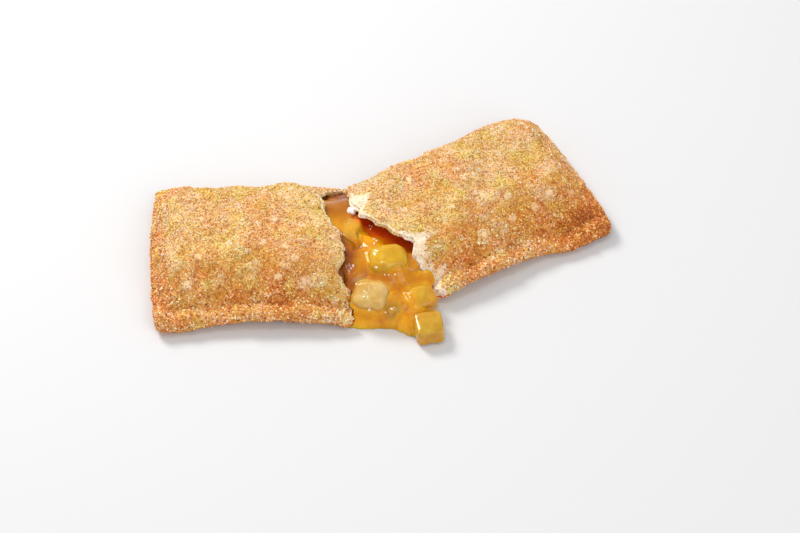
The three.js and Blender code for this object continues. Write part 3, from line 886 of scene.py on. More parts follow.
def coat_weight(body, kind, seed):
    """How thickly a kind of grain lies: on top, less below, none inside, gathered in patches."""
    marks = body.marks
    plain = clip01(1 - 1.1 * marks["torn"] - marks["inside"])
    patches = 0.75 + 0.6 * fractal(body.points, 6.0, 40 + seed)
    patches = np.maximum(patches + 0.4 * fractal(body.points, 1.8, 50 + seed), 0.05)
    liking = kind.on_pale + kind.on_brown * marks["brown"]
    # Thinner sugar in the hollows between the lumps, which leaves them darker as painted shade.
    thin = (1 - 0.7 * marks["pale"]) * (1 - 0.45 * marks["coarse"]) * (1 - 0.3 * marks["hollow"])
    return patches * liking * thin * plain * np.where(marks["under"] > 0.5, 0.12, 1.0)


def together(bodies):
    """Several bodies as one."""
    starts = np.cumsum([0] + [len(body.points) for body in bodies])
    faces = [body.faces + start for body, start in zip(bodies, starts)]
    marks = {name: np.concatenate([b.marks[name] for b in bodies]) for name in bodies[0].marks}
    return SimpleNamespace(
        points=np.concatenate([b.points for b in bodies]), faces=np.concatenate(faces), marks=marks
    )


# ------------------------------------------------------------------ materials


class Shader:
    """A material under construction, with short calls for its nodes."""

    def __init__(self, name):
        self.material = bpy.data.materials.new(name)
        self.material.use_nodes = True
        self.tree = self.material.node_tree
        self.principled = self.tree.nodes["Principled BSDF"]

    def put(self, socket, value):
        """Sets a socket, or links it where the value is another node's output."""
        if isinstance(value, bpy.types.NodeSocket):
            self.tree.links.new(value, socket)
        elif socket.type == "RGBA" and len(value) == 3:
            socket.default_value = (*value, 1)
        else:
            socket.default_value = value

    def node(self, kind, inputs, output=0, **settings):
        """Adds a node, sets or links its inputs, and gives back one of its outputs."""
        node = self.tree.nodes.new(kind)
        for name, value in settings.items():
            setattr(node, name, value)
        for name, value in inputs.items():
            self.put(node.inputs[name], value)
        return node.outputs[output]

    def surface(self, **inputs):
        """Sets or links the inputs of the surface, with _ for each space in their names."""
        for name, value in inputs.items():
            self.put(self.principled.inputs[name.replace("_", " ")], value)

    def mark(self, name):
        """A number that the mesh carries at its points."""
        return self.node("ShaderNodeAttribute", {}, output=2, attribute_name=name)

    def colours(self, name):
        """A colour that the mesh carries at its points."""
        return self.node("ShaderNodeAttribute", {}, attribute_name=name)

    def place(self):
        """The piece's own coordinates."""
        return self.node("ShaderNodeTexCoord", {}, output=3)

    def noise(self, size, detail=3.0, roughness=0.6):
        """Noise over the piece's own coordinates, with features about `size` mm wide."""
        scale = 1 / (size * MM)
        inputs = {"Vector": self.place(), "Scale": scale, "Detail": detail, "Roughness": roughness}
        return self.node("ShaderNodeTexNoise", inputs)

    def cells(self, size):
        """The distance to the nearest of one random point per cell about `size` mm wide."""
        inputs = {"Vector": self.place(), "Scale": 1 / (size * MM)}
        return self.node("ShaderNodeTexVoronoi", inputs)

    def math(self, operation, one, other=0.0):
        """One step of arithmetic."""
        return self.node("ShaderNodeMath", {0: one, 1: other}, operation=operation)

    def ranged(self, value, low, high, out_low=0.0, out_high=1.0):
        """A value carried from one range to another, and held there."""
        inputs = {0: value, 1: low, 2: high, 3: out_low, 4: out_high}
        return self.node("ShaderNodeMapRange", inputs)

    def mixed(self, share, one, other, blend="MIX"):
        """Mixes two colours."""
        node = self.tree.nodes.new("ShaderNodeMix")
        node.data_type = "RGBA"
        node.blend_type = blend
        self.put(node.inputs[0], share)
        self.put(node.inputs[6], one)
        self.put(node.inputs[7], other)
        return node.outputs[2]

    def ramp(self, value, stops):
        """A colour ramp through (position, colour) stops."""
        node = self.tree.nodes.new("ShaderNodeValToRGB")
        self.put(node.inputs[0], value)
        elements = node.color_ramp.elements
        while len(elements) < len(stops):
            elements.new(0.5)
        for element, (position, colour) in zip(elements, stops):
            element.position = position
            element.color = (*shader_colour(colour), 1)
        return node.outputs[0]

    def bump(self, height, distance, strength=1.0):
        """Small relief up to `distance` mm deep, in the shading alone."""
        inputs = {"Height": height, "Distance": distance * MM, "Strength": strength}
        return self.node("ShaderNodeBump", inputs)


def crust_material(torn):
    """Fried dough: golden to brown by its marks, pale and crumbly where torn."""
    shader = Shader("fried_dough")
    patches = shader.noise(2.6)
    speckle = shader.noise(0.55, detail=2.0)
    brown = shader.math("ADD", shader.mark("brown"), shader.ranged(patches, 0.3, 0.7, -0.18, 0.18))
    brown = shader.math("ADD", brown, shader.ranged(speckle, 0.3, 0.7, -0.2, 0.2))
    skin = shader.ramp(
        brown,
        [
            (0.0, (236, 198, 130)),
            (0.35, (222, 162, 74)),
            (0.65, (210, 124, 36)),
            (1.0, (138, 68, 14)),
        ],
    )
    skin = shader.mixed(shader.mark("pale"), skin, (*linear((242, 204, 158)), 1))
    dough = shader.ramp(speckle, [(0.32, (226, 192, 152)), (0.62, torn)])
    wet = shader.ramp(patches, [(0.3, (220, 74, 24)), (0.7, (244, 124, 50))])
    colour = shader.mixed(shader.mark("torn"), skin, dough)
    colour = shader.mixed(shader.mark("inside"), colour, wet)
    rough = shader.ranged(shader.mark("inside"), 0.0, 1.0, 0.72, 0.3)
    shader.surface(
        Base_Color=colour,
        Roughness=rough,
        Subsurface_Weight=0.25,
        Subsurface_Radius=(1.0, 0.55, 0.3),
        Subsurface_Scale=0.9 * MM,
        Normal=shader.bump(speckle, 0.1, 0.8),
    )
    return shader.material


def grain_material(name, pale, deep, clear):
    """Sugar or spice: each grain takes its own tone between two colours, toasted where the crust
    under it is brown, and tinted pink or yellow in patches."""
    shader = Shader(name)
    colour = shader.ramp(shader.mark("tone"), [(0.0, deep), (1.0, pale)])
    toasted = shader.ramp(
        shader.mark("brown"),
        [
            (0.15, (243, 252, 255)),
            (0.42, (255, 242, 218)),
            (0.72, (252, 220, 168)),
            (1.0, (206, 160, 108)),
        ],
    )
    tinted = shader.ramp(
        shader.ranged(shader.mark("hue"), -0.8, 0.8),
        [(0.15, (255, 220, 212)), (0.5, (255, 246, 232)), (0.85, (250, 242, 158))],
    )
    colour = shader.mixed(1.0, shader.mixed(1.0, colour, toasted, "MULTIPLY"), tinted, "MULTIPLY")
    shader.surface(
        Base_Color=colour,
        Roughness=0.42,
        Subsurface_Weight=clear,
        Subsurface_Radius=(0.9, 0.7, 0.45),
        Subsurface_Scale=0.5 * MM,
        Specular_IOR_Level=0.55,
    )
    return shader.material


def gel_material():
    """Apple gel: clear amber in the colours of its own marks, clouded a little."""
    shader = Shader("apple_gel")
    clouds = shader.noise(2.2, detail=4.0)
    cloud = shader.ramp(clouds, [(0.35, (246, 236, 214)), (0.65, (255, 255, 255))])
    shader.surface(
        Base_Color=shader.mixed(1.0, shader.colours("tint"), cloud, "MULTIPLY"),
        Roughness=0.16,
        Specular_IOR_Level=0.2,
        Subsurface_Weight=0.8,
        Subsurface_Radius=(1.0, 0.42, 0.12),
        Subsurface_Scale=1.8 * MM,
        Coat_Weight=0.3,
        Coat_Roughness=0.03,
        Normal=shader.bump(shader.noise(1.9, detail=2.0), 0.2, 0.5),
    )
    return shader.material


def apple_material(name, pale, deep):
    """A cube of cooked apple: cloudy and yellow, glossy with gel."""
    shader = Shader(name)
    cloud = shader.noise(3.5, detail=3.0)
    fibres = shader.noise(0.9, detail=2.0)
    colour = shader.ramp(cloud, [(0.3, deep), (0.65, pale)])
    gelled = shader.ramp(cloud, [(0.3, (194, 132, 22)), (0.7, (206, 154, 38))])
    colour = shader.mixed(shader.mark("gelled"), colour, gelled)
    shader.surface(
        Base_Color=colour,
        Roughness=0.22,
        Specular_IOR_Level=0.2,
        Subsurface_Weight=0.8,
        Subsurface_Radius=(1.0, 0.6, 0.2),
        Subsurface_Scale=1.8 * MM,
        Coat_Weight=0.55,
        Coat_Roughness=0.05,
        Normal=shader.bump(fibres, 0.1, 0.4),
    )
    return shader.material


# ------------------------------------------------------------------ the filling
COARSE_STEP = 1.2  # millimetres between the lines of the bodies that only cut
SPILL_CENTRE = (13.0, -38.0)
CAVE_DIP = 3.6
RIM_DIP = 2.2
CUBE_FILLET = 2.2
SPILL_EDGE = [
    (-180, 20), (-150, 21.5), (-125, 23), (-112, 21.6), (-101, 20.6), (-91, 20), (-81.5, 20.4),
    (-77, 20.9), (-72, 22.8), (-66.5, 25.5), (-62, 26.9), (-52, 25.5), (-43, 24.8), (-32, 22),
    (-18, 20.5), (0, 21), (25, 22), (50, 24), (75, 31), (100, 37.5), (120, 41), (138, 37),
    (150, 28), (180, 20),
]
# The cubes of apple: centre, size, turn and tilt in degrees, how square each is, the film of gel
# over its middle and how much thicker that grows towards its front, how far it shows through the
# gel, and its pale and its deep colour.
CUBE_COLUMNS = ("at", "size", "turn", "tilt", "square", "film", "shows", "pale", "deep")
CUBES = [
    ((15.2, -38, 11.8), (13.5, 11, 9), 8, 12, 2.9, (-1.6, 1.6), 0.9,
     (218, 172, 30), (200, 144, 14)),
    ((9.6, -50.2, 7.4), (12, 9.8, 8), -12, 22, 3.7, (-0.75, 1.7), 1,
     (218, 186, 116), (204, 158, 68)),
    ((29.3, -60.3, 3.4), (9.8, 10.6, 6.7), 10, 0, 5.5, (-9, 0), 0.6,
     (200, 164, 46), (178, 140, 22)),
    ((26.8, -50, 5.6), (11.5, 9, 7), 24, 12, 3.4, (0.5, 0.4), 1,
     (214, 168, 44), (198, 140, 22)),
    ((3.2, -25.5, 11), (6, 13, 6.5), -8, -8, 3.4, (0.55, 0.2), 1,
     (206, 162, 54), (184, 128, 26)),
    ((3.6, -40, 9), (10, 12.5, 8), 16, 10, 3.2, (0.6, 0), 0.6,
     (178, 106, 22), (160, 88, 14)),
    ((17.6, -53.2, 5.6), (9, 7, 6.5), 35, 8, 3.2, (0.6, 0), 0.8,
     (186, 134, 36), (170, 114, 24)),
    ((23.8, -37.4, 8.2), (8, 8.5, 6.5), -20, 6, 3.2, (0.5, 0), 0.6,
     (186, 114, 24), (168, 94, 16)),
]
CHUNKS = [SimpleNamespace(**dict(zip(CUBE_COLUMNS, cube))) for cube in CUBES]
SUGAR_LUMP = (2.8, -16.9, 13.2)
SUGAR_LUMP_RADIUS = 1.5
# The gel's colours from the front to the back; painted shade in its back corner, under the left
# half's lip and in the creases round the cubes; and in the cave under the right half a redder
# colour, deeper gel with painted shade.
GEL_FRONT = (250, 186, 26)
GEL_MIDDLE = (230, 166, 10)
GEL_BACK = (176, 106, 14)
GEL_CORNER_SHADE = (134, 62, 10)
GEL_LEFT_LIP_SHADE = (120, 36, 3)
GEL_CAVE_DEEP_AND_SHADE = (226, 86, 24)
GEL_CREASE_SHADE = (200, 116, 8)


def spill_height(x, y):
    """Height of the filling in the gap: a product of eased slopes, plus two sine waves.

    It lies nearly up to the crust at the left and the back, and falls to the front, to the right
    and towards the right half's mouth. A bell fills the corner behind the uncut cube.
    """
    from_front = smooth(y, -61, -33) ** 0.7
    from_left = 1 - 0.25 * smooth(x, 12, 30)
    to_back = 1 - 0.1 * smooth(y, -26, -14) - 0.1 * smooth(y, -12, -3)
    along, across = own_frame(RIGHT, x, y)
    mouth = smooth(along - tear_at(RIGHT, RIGHT.tear_top, across), -6, 0)
    cave = mouth * smooth(across, -19, -12) * (1 - smooth(across, 4, 12))
    ripples = 0.3 * np.sin(0.45 * x + 0.3 * y) + 0.25 * np.sin(0.6 * y - 0.25 * x + 1)
    by_rim = RIM_DIP * (1 - smooth(x, 1.5, 5)) * (1 - smooth(y, -53, -45))
    by_cube = CUBE_FILLET * bell(np.hypot(x - 23.2, y + 57.6), 4.6)
    level = 4.4 + 8.6 * from_front * from_left * to_back
    return level - CAVE_DIP * cave - by_rim + by_cube + ripples


def chunk_local(chunk, x, y):
    """A plan position in a cube's own turned frame, as a share of its half sizes."""
    angle = math.radians(chunk.turn)
    dx, dy = x - chunk.at[0], y - chunk.at[1]
    across = (dx * math.cos(angle) + dy * math.sin(angle)) / (chunk.size[0] / 2)
    deep = (-dx * math.sin(angle) + dy * math.cos(angle)) / (chunk.size[1] / 2)
    return across, deep


def over_chunks(x, y, height):
    """The gel's height, raised to each cube's side by e^-distance, blended with a film over the
    sunk cubes, and roughened by noise that is strongest at the back."""
    flat = np.stack([x, y, 0 * x], axis=-1)
    x = x + 1.0 * value_noise(flat, 4.6, 321)
    y = y + 1.0 * value_noise(flat, 4.6, 322)
    for chunk in CHUNKS:
        _, deep = chunk_local(chunk, x, y)
        top, ring = chunk_top(chunk, x, y)
        away = np.maximum(ring - 1, 0) * min(chunk.size[:2]) / 2
        climb = np.clip(chunk.at[2] + 1.8 - height, 0, 2.2)
        height = height + climb * np.exp(-away / 1.5)
        skirt = -0.75 * min(chunk.size[:2]) * np.maximum(ring - 0.85, 0)
        roof = top + skirt + chunk.film[0] - chunk.film[1] * deep
        height = smooth_max(roof, height, 2.4)
    lumpy = 0.35 + 0.5 * smooth(y, -24, -14)
    return height + lumpy * fractal(flat, 5.0, 331) + 0.12 * fractal(flat, 1.7, 335, 2)


def spill_body(spokes=320, rings=130):
    """The spill: a polar height field with a steep round edge, and a flat base below the table."""
    below = 1.0
    angle = np.radians(np.linspace(-180, 180, spokes))[:, None]
    reach = eased(SPILL_EDGE, np.degrees(angle))
    reach[-1] = reach[0]

    def sheet(share, upper):
        """Spokes by rings of points, on the gel's upper side or on its base."""
        share = share[None, :]
        x = SPILL_CENTRE[0] + reach * share * np.cos(angle)
        y = SPILL_CENTRE[1] + reach * share * np.sin(angle)
        level = over_chunks(x, y, spill_height(x, y)) + below
        up = level * np.sqrt(np.maximum(1 - share**8, 0)) if upper else 0 * level
        points = np.stack([x, y, up - below], axis=-1)
        points[-1] = points[0]
        points[:, 0] = points[0, 0]
        return points

    fine = 1 - (1 - np.linspace(0, 1, rings)) ** 1.35
    return surface([(sheet(fine, True), False), (sheet(np.linspace(0, 1, 14), False), True)])


def inner_slab(pie, along, across, end, gap, drop=0.0):
    """A slab between the roof and the floor of the hollow, `gap` off both, rounded at its rim."""
    inside = np.minimum(along, end)
    roof = top_of(pie, inside, across) - CRUST - gap - drop
    floor = bottom_of(pie, inside, across) + CRUST + gap
    nearest = np.minimum(across - across[0], across[-1] - across)
    closing = shoulder(nearest, CAVITY_ROUND) * shoulder(end - along, CAVITY_ROUND)
    thick = np.maximum((roof - floor) / 2, 0.1) * closing
    sheets = [placed(pie, along, across, (roof + floor) / 2 + side * thick) for side in (1, -1)]
    return closed_slab(*sheets)


def hollow_lines(pie, inset, columns):
    """Lines across the hollow, `inset` from the rims, and where it ends along each of them."""
    across = np.linspace(-WIDTH / 2 + RIM_FRONT + inset, WIDTH / 2 - RIM_BACK - inset, columns)
    return across, end_of(pie, across) - RIM_END - 2 * inset


def core_body(pie):
    """The filling inside one half: the hollow, CLEARANCE off the crust and sunk at the tear."""
    across, end = hollow_lines(pie, INSET, 90)
    along = mix(-3.0, end, (np.linspace(0, 1, 70) ** 0.9)[:, None])
    drop = mix(*pie.fill_drop, smooth(across, *pie.fill_turn)) * (1 - smooth(along, 8, 24))
    return inner_slab(pie, along, across, end, CLEARANCE, drop)


def whole_body(pie, grow):
    """One half as a full coarse solid, grown on every side; it only cuts the filling."""
    across = across_lines(COARSE_STEP)
    along = along_lines(tear_at(pie, pie.tear_top, across), end_of(pie, across), 60)
    outward = grow * (2 * np.linspace(0, 1, len(along))[:, None] - 1)
    sideways = bowed(pie, along, across) * (1 + 2 * grow / WIDTH)
    sheets = [
        placed(pie, along + outward, sideways, level(pie, along, across) + side * grow)
        for level, side in ((top_of, 1), (bottom_of, -1))
    ]
    return closed_slab(*sheets)


def hollow_body(pie, grow):
    """The room inside one half, reaching out of the tear, thinned by `grow` on every side."""
    across, end = hollow_lines(pie, grow, 70)
    along = mix(-12.0, end, np.linspace(0, 1, 60)[:, None])
    return inner_slab(pie, along, across, end, grow)


def combined(name, first, steps):
    """Cuts and joins bodies with Boolean modifiers and gives back the result as a body."""
    base = add_piece(name, first, None)
    helpers = []
    for number, (operation, body) in enumerate(steps):
        helper = add_piece(f"{name}_{number}", body, None)
        helpers.append(helper)
        modifier = base.modifiers.new(helper.name, "BOOLEAN")
        modifier.operation = operation
        modifier.solver = "MANIFOLD"
        modifier.object = helper
    evaluated = base.evaluated_get(bpy.context.evaluated_depsgraph_get())
    mesh = evaluated.to_mesh()
    mesh.calc_loop_triangles()
    points = np.empty(len(mesh.vertices) * 3, np.float32)
    mesh.vertices.foreach_get("co", points)
    faces = np.empty(len(mesh.loop_triangles) * 3, np.int32)
    mesh.loop_triangles.foreach_get("vertices", faces)
    made = trimmed(points.reshape(-1, 3).astype(float) / MM - ORIGIN, faces.reshape(-1, 3), {})
    evaluated.to_mesh_clear()
    for helper in [base, *helpers]:
        data = helper.data
        bpy.data.objects.remove(helper)
        bpy.data.meshes.remove(data)
    return made


def ball_directions(around, rings):
    """Unit directions over a ball, on a grid of turns by heights."""
    turn = np.linspace(0, 2 * math.pi, around)[:, None]
    climb = np.linspace(-math.pi / 2, math.pi / 2, rings)[None, :]
    level = np.cos(climb)
    return np.stack([level * np.cos(turn), level * np.sin(turn), np.sin(climb) + 0 * turn], -1)


def sealed(points):
    """A ball's grid with its seam and its two poles drawn together."""
    points[-1] = points[0]
    points[:, 0], points[:, -1] = points[0, 0], points[0, -1]
    return points


def rotated(points, first, second, degrees):
    """Points turned in the plane of two of their axes."""
    cos, sin = math.cos(math.radians(degrees)), math.sin(math.radians(degrees))
    made = points.copy()
    made[..., first] = points[..., first] * cos - points[..., second] * sin
    made[..., second] = points[..., first] * sin + points[..., second] * cos
    return made


def chunk_body(chunk, seed):
    """A rounded block: |x|^n + |y|^n + |z|^n = 1, scaled, tilted and turned, with soft dents."""
    way = ball_directions(132, 78)
    power = chunk.square
    length = (np.abs(way) ** power).sum(axis=-1, keepdims=True) ** (1 / power)
    local = sealed(way / length * (np.array(chunk.size) / 2))
    points = rotated(rotated(local, 1, 2, chunk.tilt), 0, 1, chunk.turn) + np.array(chunk.at)
    body = surface([(points, False)])
    dents = 0.6 * fractal(body.points, 6.0, seed) + 0.07 * fractal(body.points, 1.2, seed + 9, 2)
    shrunk = 0.15 if chunk.film[0] < 0 else 0.6
    body.points = body.points + point_normals(body) * (dents - shrunk)[:, None]
    body.points[:, 2] = np.maximum(body.points[:, 2], TABLE_GAP)
    gel = spill_height(body.points[:, 0], body.points[:, 1])
    body.marks["gelled"] = 1 - smooth(body.points[:, 2] - gel, -0.5, 3.4)
    return body


def chunk_top(chunk, x, y):
    """The height of a cube's upper side, and (|x|^n + |y|^n)^(1 / n), which is 1 on its sides."""
    across, deep = chunk_local(chunk, x, y)
    ring = (np.abs(across) ** chunk.square + np.abs(deep) ** chunk.square) ** (1 / chunk.square)
    inner = np.maximum(1 - ring**chunk.square, 0) ** (1 / chunk.square)
    slope = math.sin(math.radians(chunk.tilt)) * deep * chunk.size[1] / 2
    return chunk.at[2] + slope + inner * chunk.size[2] / 2, ring


def gel_tint(points, front):
    """The gel's colour: amber from `front` at the front to the back, with painted shade in the back
    corner, under the left half's lip and in a ring round each cube, redder in the cave under the
    right half's lip as deeper gel with painted shade, and paler over each cube of apple."""
    x, y, z = points.T
    right_along, right_across = own_frame(RIGHT, x, y)
    left_along, left_across = own_frame(LEFT, x, y)
    # Where the cave under the right half's lip turns redder, and where the left half's lip takes
    # painted shade.
    cave = smooth(right_along - tear_at(RIGHT, RIGHT.tear_top, right_across), -4.5, 1.0)
    cave = cave * smooth(right_across, -18, -6) * (1 - smooth(right_across, 9, 16))
    left_reach = left_along - tear_at(LEFT, LEFT.tear_top, left_across)
    left_lip_shade = smooth(left_reach, -8, -1.5) * smooth(y, -54, -46) * (1 - smooth(y, -33, -22))
    cloud = 0.22 * fractal(points, 6.0, 301, 3)

    def shade(low, high, share):
        """One colour laid over another by a share for each point."""
        return mix(low, np.array(shader_colour(high)), clip01(share)[:, None])

    colour = shade(np.array(shader_colour(front)), GEL_MIDDLE, smooth(y, -56, -44) + cloud)
    colour = shade(colour, GEL_BACK, smooth(y, -28, -14) + cloud)
    # Painted shade in the back corner and under the left half's lip.
    colour = shade(colour, GEL_CORNER_SHADE, smooth(y, -15, -6) + cloud * smooth(y, -18, -12))
    colour = shade(colour, GEL_LEFT_LIP_SHADE, left_lip_shade + cloud)
    for chunk in CHUNKS:
        top, ring = chunk_top(chunk, x, y)
        near = (1 - smooth(ring, 0.7, 1.2)) * np.exp(-np.maximum(z - top, 0) / 1.2)
        # Painted shade in a ring round each cube's foot.
        colour = shade(colour, GEL_CREASE_SHADE, 0.5 * bell(ring - 1.3, 0.22) * chunk.shows)
        colour = shade(colour, chunk.pale, near * chunk.shows)
    # Redder in the cave under the right half's lip: deeper gel, with painted shade.
    return shade(colour, GEL_CAVE_DEEP_AND_SHADE, cave)


# Where crystals of sugar stick to the gel, and how wide each is. They sit where the gel glints,
# and stand in for its glints as painted highlights as well as being sugar.
CRYSTALS_AND_GLINTS = [
    (9.1, -20.6, 0.9), (9.8, -21.1, 0.7), (9.4, -22.4, 0.8), (13.9, -21.9, 0.7),
    (10.8, -29.4, 0.9), (11.5, -30.3, 1.1), (10.8, -31.9, 0.9), (6.3, -32.7, 0.9),
    (11.5, -42.8, 1.1), (15.7, -44.7, 0.8), (17.8, -44.6, 1.0), (14.3, -44.6, 0.7),
    (8.4, -50.0, 0.9), (9.1, -55.6, 1.2), (14.6, -56.6, 0.8),
]


def crystals_and_glints_body(gel):
    """Lumpy, turned octahedra on the highest point of the gel within 1 mm of each place."""
    rng = np.random.default_rng(71)
    places = np.array(CRYSTALS_AND_GLINTS)
    away = np.hypot(*(gel.points[None, :, :2] - places[:, None, :2]).transpose(2, 0, 1))
    level = np.where(away < 1.0, gel.points[:, 2], 0).max(axis=1)
    if level.min() <= 0:
        raise RuntimeError("a sugar crystal has no gel under it")
    centres = np.column_stack([places[:, :2], level])
    shape = GRAIN_CORNERS * (1 + rng.uniform(-0.25, 0.25, (len(places), 6, 1)))
    shape = shape * places[:, None, 2:] / 2
    corners = np.einsum("nij,nkj->nki", random_turns(rng, len(places)), shape) + centres[:, None]
    return SimpleNamespace(
        points=corners.reshape(-1, 3), faces=grain_faces(len(places)), marks={}
    )


def sugar_lump_body():
    """A ball of SUGAR_LUMP_RADIUS, pushed in and out by cells of noise into a cluster."""
    way = ball_directions(48, 28)
    away, owner = cell_noise(way, 0.8, 77)
    points = way * (SUGAR_LUMP_RADIUS * (1.12 - 0.3 * away + 0.1 * owner))[..., None]
    return surface([(sealed(points) + np.array(SUGAR_LUMP), False)])


def crystal_material(name, colour):
    """White sugar that lets some light through."""
    shader = Shader(name)
    shader.surface(
        Base_Color=shader_colour(colour),
        Roughness=0.3,
        Subsurface_Weight=0.5,
        Subsurface_Radius=(1.0, 0.9, 0.75),
        Subsurface_Scale=0.8 * MM,
        Normal=shader.bump(shader.cells(0.5), 0.15, 0.6),
    )
    return shader.material


# ------------------------------------------------------------------ settings
SUGAR_WHITE = (255, 248, 230)
TORN_DOUGH = (255, 244, 226)
FLOOR_GREY = (0.7, 0.7, 0.71)  # as a shader takes it


def colour_setting(name, description, default):
    """A colour that the user can change, as a shader takes it."""
    return FloatVectorProperty(
        name=name,
        description=description,
        default=default,
        min=0,
        max=1,
        size=3,
        subtype="COLOR",
    )


class PieSettings(bpy.types.PropertyGroup):
    """Sizes and colours of the pie that a user would change."""

    grain_size: FloatProperty(
        name="Grain size",
        description="Size of a common grain of sugar",
        default=0.46 * MM,
        min=0.1 * MM,
        max=2 * MM,
        unit="LENGTH",
        precision=5,
    )
    grain_count: IntProperty(
        name="Grains of each kind",
        description="How many grains of each common kind are strewn over the crust",
        default=22000,
        min=0,
        max=24000,
    )
    sugar_colour: colour_setting("Sugar", "Lightest colour of the sugar", linear(SUGAR_WHITE))
    dough_colour: colour_setting("Dough", "Colour of the dough at the tear", linear(TORN_DOUGH))
    gel_colour: colour_setting("Gel", "Colour of the gel at the front", linear(GEL_FRONT))
    floor_colour: colour_setting("Floor", "Colour of the studio floor", FLOOR_GREY)
    key_power: FloatProperty(
        name="Key light power",
        description="Power of the softbox behind the pie on the left",
        default=5.9,
        min=0,
        unit="POWER",
    )


BODIES = {}  # the crust's bodies, kept for the operators that strew grains over them


class PIE_OT_crust(bpy.types.Operator):
    """Build both halves of the crust and the bottom crust between them"""

    bl_idname = "pie.crust"
    bl_label = "Crust"

    def execute(self, context):
        material = crust_material(context.scene.pie.dough_colour)
        for pie in (LEFT, RIGHT):
            body = roughened(pie, crust_body(pie))
            body.marks["brown"] = brown_and_shade(pie, body)
            body.points[:, 2] = np.maximum(body.points[:, 2], SKIN_GAP)
            BODIES[pie.name] = body
            add_piece(f"crust_{pie.name}", body, "fried_dough", ["crust"], material)
            flap = flap_body(pie)
            flap.marks["inside"] = 1 - flap.marks["under"]
            flap = roughened(pie, flap)
            flap.marks["brown"] = clip01(0.45 + 0.3 * fractal(flap.points, 5, 21))
            flap.points[:, 2] = np.maximum(flap.points[:, 2], TABLE_GAP)
            add_piece(f"bottom_crust_{pie.name}", flap, "fried_dough", ["crust"], material)
        return {"FINISHED"}


class PIE_OT_sugar(bpy.types.Operator):
    """Strew sugar and cinnamon over the crust"""

    bl_idname = "pie.sugar"
    bl_label = "Sugar and cinnamon"

    def execute(self, context):
        settings = context.scene.pie
        if not BODIES:
            raise RuntimeError("the crust is built before its sugar")
        for pie in (LEFT, RIGHT):
            BODIES[pie.name].marks["coarse"] = coarse(pie, BODIES[pie.name])
        for seed, kind in enumerate(GRAINS, 1):
            strewn = []
            for pie, share in ((LEFT, 0.46), (RIGHT, 0.54)):
                body = BODIES[pie.name]
                sizes = settings.grain_size / MM * kind.size * (1 + 0.55 * body.marks["coarse"])
                count = int(int(settings.grain_count * kind.share) * share)
                weight = coat_weight(body, kind, seed)
                strewn.append(grains(body, weight, count, sizes, 100 * seed + pie.seed))
            pale = kind.pale or settings.sugar_colour
            material = grain_material(kind.name, pale, kind.deep, kind.clear)
            add_piece(kind.name, together(strewn), "fried_dough", (), material, flat=True)
        return {"FINISHED"}


class PIE_OT_filling(bpy.types.Operator):
    """Build the gel that runs through both halves and out of the gap"""

    bl_idname = "pie.filling"
    bl_label = "Filling"

    def execute(self, context):
        steps = [("DIFFERENCE", whole_body(RIGHT, GAP))]
        steps += [("UNION", core_body(pie)) for pie in (LEFT, RIGHT)]
        for pie in (LEFT, RIGHT):
            shell = combined("shell", whole_body(pie, GAP), [("DIFFERENCE", hollow_body(pie, GAP))])
            steps.append(("DIFFERENCE", shell))
            steps.append(("DIFFERENCE", flap_body(pie, GAP, 24, COARSE_STEP)))
        gel = combined("gel", spill_body(), steps)
        gel.points[:, 2] = np.maximum(gel.points[:, 2], TABLE_GAP)
        gel.marks["tint"] = gel_tint(gel.points, context.scene.pie.gel_colour)
        add_piece("apple_gel", gel, "apple_gel", ["filling"], gel_material())
        white = crystal_material("white_sugar", (255, 252, 244))
        add_piece("sugar_lump", sugar_lump_body(), "apple_gel", ["filling"], white, flat=True)
        # Warm white crystals on the gel: sugar, and painted highlights for the gel's glints.
        warm = crystal_material("crystal_and_glint", (255, 236, 204))
        add_piece("crystals_and_glints", crystals_and_glints_body(gel), "apple_gel", (), warm, flat=True)
        return {"FINISHED"}


class PIE_OT_apple(bpy.types.Operator):
    """Build the cubes of cooked apple"""

    bl_idname = "pie.apple"
    bl_label = "Apple cubes"

    def execute(self, context):
        for number, chunk in enumerate(CHUNKS, 1):
            body = chunk_body(chunk, 200 + 17 * number)
            material = apple_material(f"cooked_apple_{number}", chunk.pale, chunk.deep)
            replaced = [f"apple_chunk_{number}"]
            add_piece(f"apple_cube_{number}", body, "cooked_apple", replaced, material)
        return {"FINISHED"}


FLOOR_REACH = 900.0  # millimetres from the middle of the floor to its sides
WORLD_COLOUR = (0.96, 0.98, 1.0, 1)
WORLD_STRENGTH = 0.6
LIGHTS = [  # name, place and width in metres, share of the key light's power, and colour
    ("key", (-0.44, 0.45, 0.60), 0.28, 1.0, (1.0, 0.975, 0.94)),
    ("fill", (0.55, -0.75, 0.7), 0.8, 0.72, (1.0, 0.98, 0.94)),
    ("overhead", (-0.11, -0.06, 0.78), 0.09, 0.1, (1.0, 1.0, 1.0)),
]


class PIE_OT_stage(bpy.types.Operator):
    """Set up the floor, the lights and the camera"""

    bl_idname = "pie.stage"
    bl_label = "Stage"

    def execute(self, context):
        settings = context.scene.pie
        corners = FLOOR_REACH * np.array([[-1, -1, 0], [1, -1, 0], [1, 1, 0], [-1, 1, 0]])
        floor = SimpleNamespace(points=corners, faces=np.array([[0, 1, 2], [0, 2, 3]]), marks={})
        shader = Shader("floor")
        colour = shader_colour(settings.floor_colour)
        shader.surface(Base_Color=colour, Roughness=0.9, Specular_IOR_Level=0.1)
        add_piece("floor", floor, None, (), shader.material)
        for name, at, size, share, light_colour in LIGHTS:
            add_light(name, at, size, settings.key_power * share, light_colour)
        world = bpy.data.worlds.new("studio")
        world.use_nodes = True
        background = world.node_tree.nodes["Background"]
        background.inputs["Color"].default_value = WORLD_COLOUR
        background.inputs["Strength"].default_value = WORLD_STRENGTH
        context.scene.world = world
        context.scene.view_settings.view_transform = "Standard"
        add_camera()
        return {"FINISHED"}


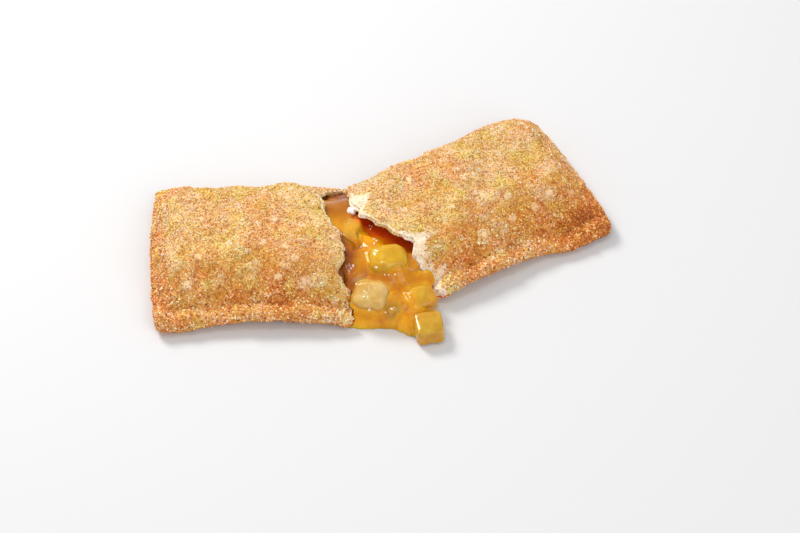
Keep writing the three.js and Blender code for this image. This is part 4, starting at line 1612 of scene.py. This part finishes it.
def add_light(name, at, size, power, colour):
    """A square softbox that faces the pie."""
    data = bpy.data.lights.new(name, "AREA")
    data.shape = "SQUARE"
    data.size = size
    data.energy = power
    data.color = colour
    light = bpy.data.objects.new(name, data)
    light.location = at
    light.rotation_euler = (-Vector(at)).to_track_quat("-Z", "Y").to_euler()
    bpy.context.scene.collection.objects.link(light)


ELEVATION = math.radians(50)
PICTURE_WIDTH = 800  # pixels
SENSOR = 36  # millimetres wide
FOCUS = 3700.0  # focal length in pixels
SCALE = 2.87  # pixels for each millimetre at the pie's origin
ORIGIN_PIXEL = (-56.0, 67.1)  # the pie's origin in the picture, right and up from its middle


def add_camera():
    """The photo's camera: it looks down by ELEVATION, straight from the front, from far away."""
    data = bpy.data.cameras.new("camera")
    data.lens = SENSOR * FOCUS / PICTURE_WIDTH
    data.sensor_width = SENSOR
    away = FOCUS / SCALE
    forward = np.array([0, math.cos(ELEVATION), -math.sin(ELEVATION)])
    up = np.array([0, math.sin(ELEVATION), math.cos(ELEVATION)])
    right = np.array([1.0, 0, 0])
    shift = right * ORIGIN_PIXEL[0] + up * ORIGIN_PIXEL[1]
    at = ORIGIN - (forward * away + shift * away / FOCUS)
    camera = bpy.data.objects.new("camera", data)
    camera.location = at * MM
    camera.rotation_euler = (math.pi / 2 - ELEVATION, 0, 0)
    data.clip_start, data.clip_end = 0.1, 10
    bpy.context.scene.collection.objects.link(camera)
    bpy.context.scene.camera = camera


class PIE_PT_panel(bpy.types.Panel):
    """The pie's settings and its steps, in order"""

    bl_idname = "PIE_PT_panel"
    bl_label = "Fried apple pie"
    bl_space_type = "VIEW_3D"
    bl_region_type = "UI"
    bl_category = "Pie"

    def draw(self, context):
        """Lists every setting, then every operator."""
        settings = context.scene.pie
        for name in PieSettings.__annotations__:
            self.layout.prop(settings, name)
        for operator in OPERATORS:
            self.layout.operator(operator.bl_idname)


OPERATORS = (PIE_OT_crust, PIE_OT_sugar, PIE_OT_filling, PIE_OT_apple, PIE_OT_stage)
CLASSES = (PieSettings, *OPERATORS, PIE_PT_panel)


def register():
    """Registers the classes, and puts the settings on the scene."""
    for item in CLASSES:
        bpy.utils.register_class(item)
    bpy.types.Scene.pie = PointerProperty(type=PieSettings)


def unregister():
    """Takes back what register did, in the other order."""
    del bpy.types.Scene.pie
    for item in reversed(CLASSES):
        bpy.utils.unregister_class(item)


def main():
    """Builds the pie and its stage."""
    register()
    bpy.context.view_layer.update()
    bpy.ops.pie.crust()
    bpy.ops.pie.sugar()
    bpy.ops.pie.filling()
    bpy.ops.pie.apple()
    bpy.ops.pie.stage()


if __name__ == "__main__":
    main()
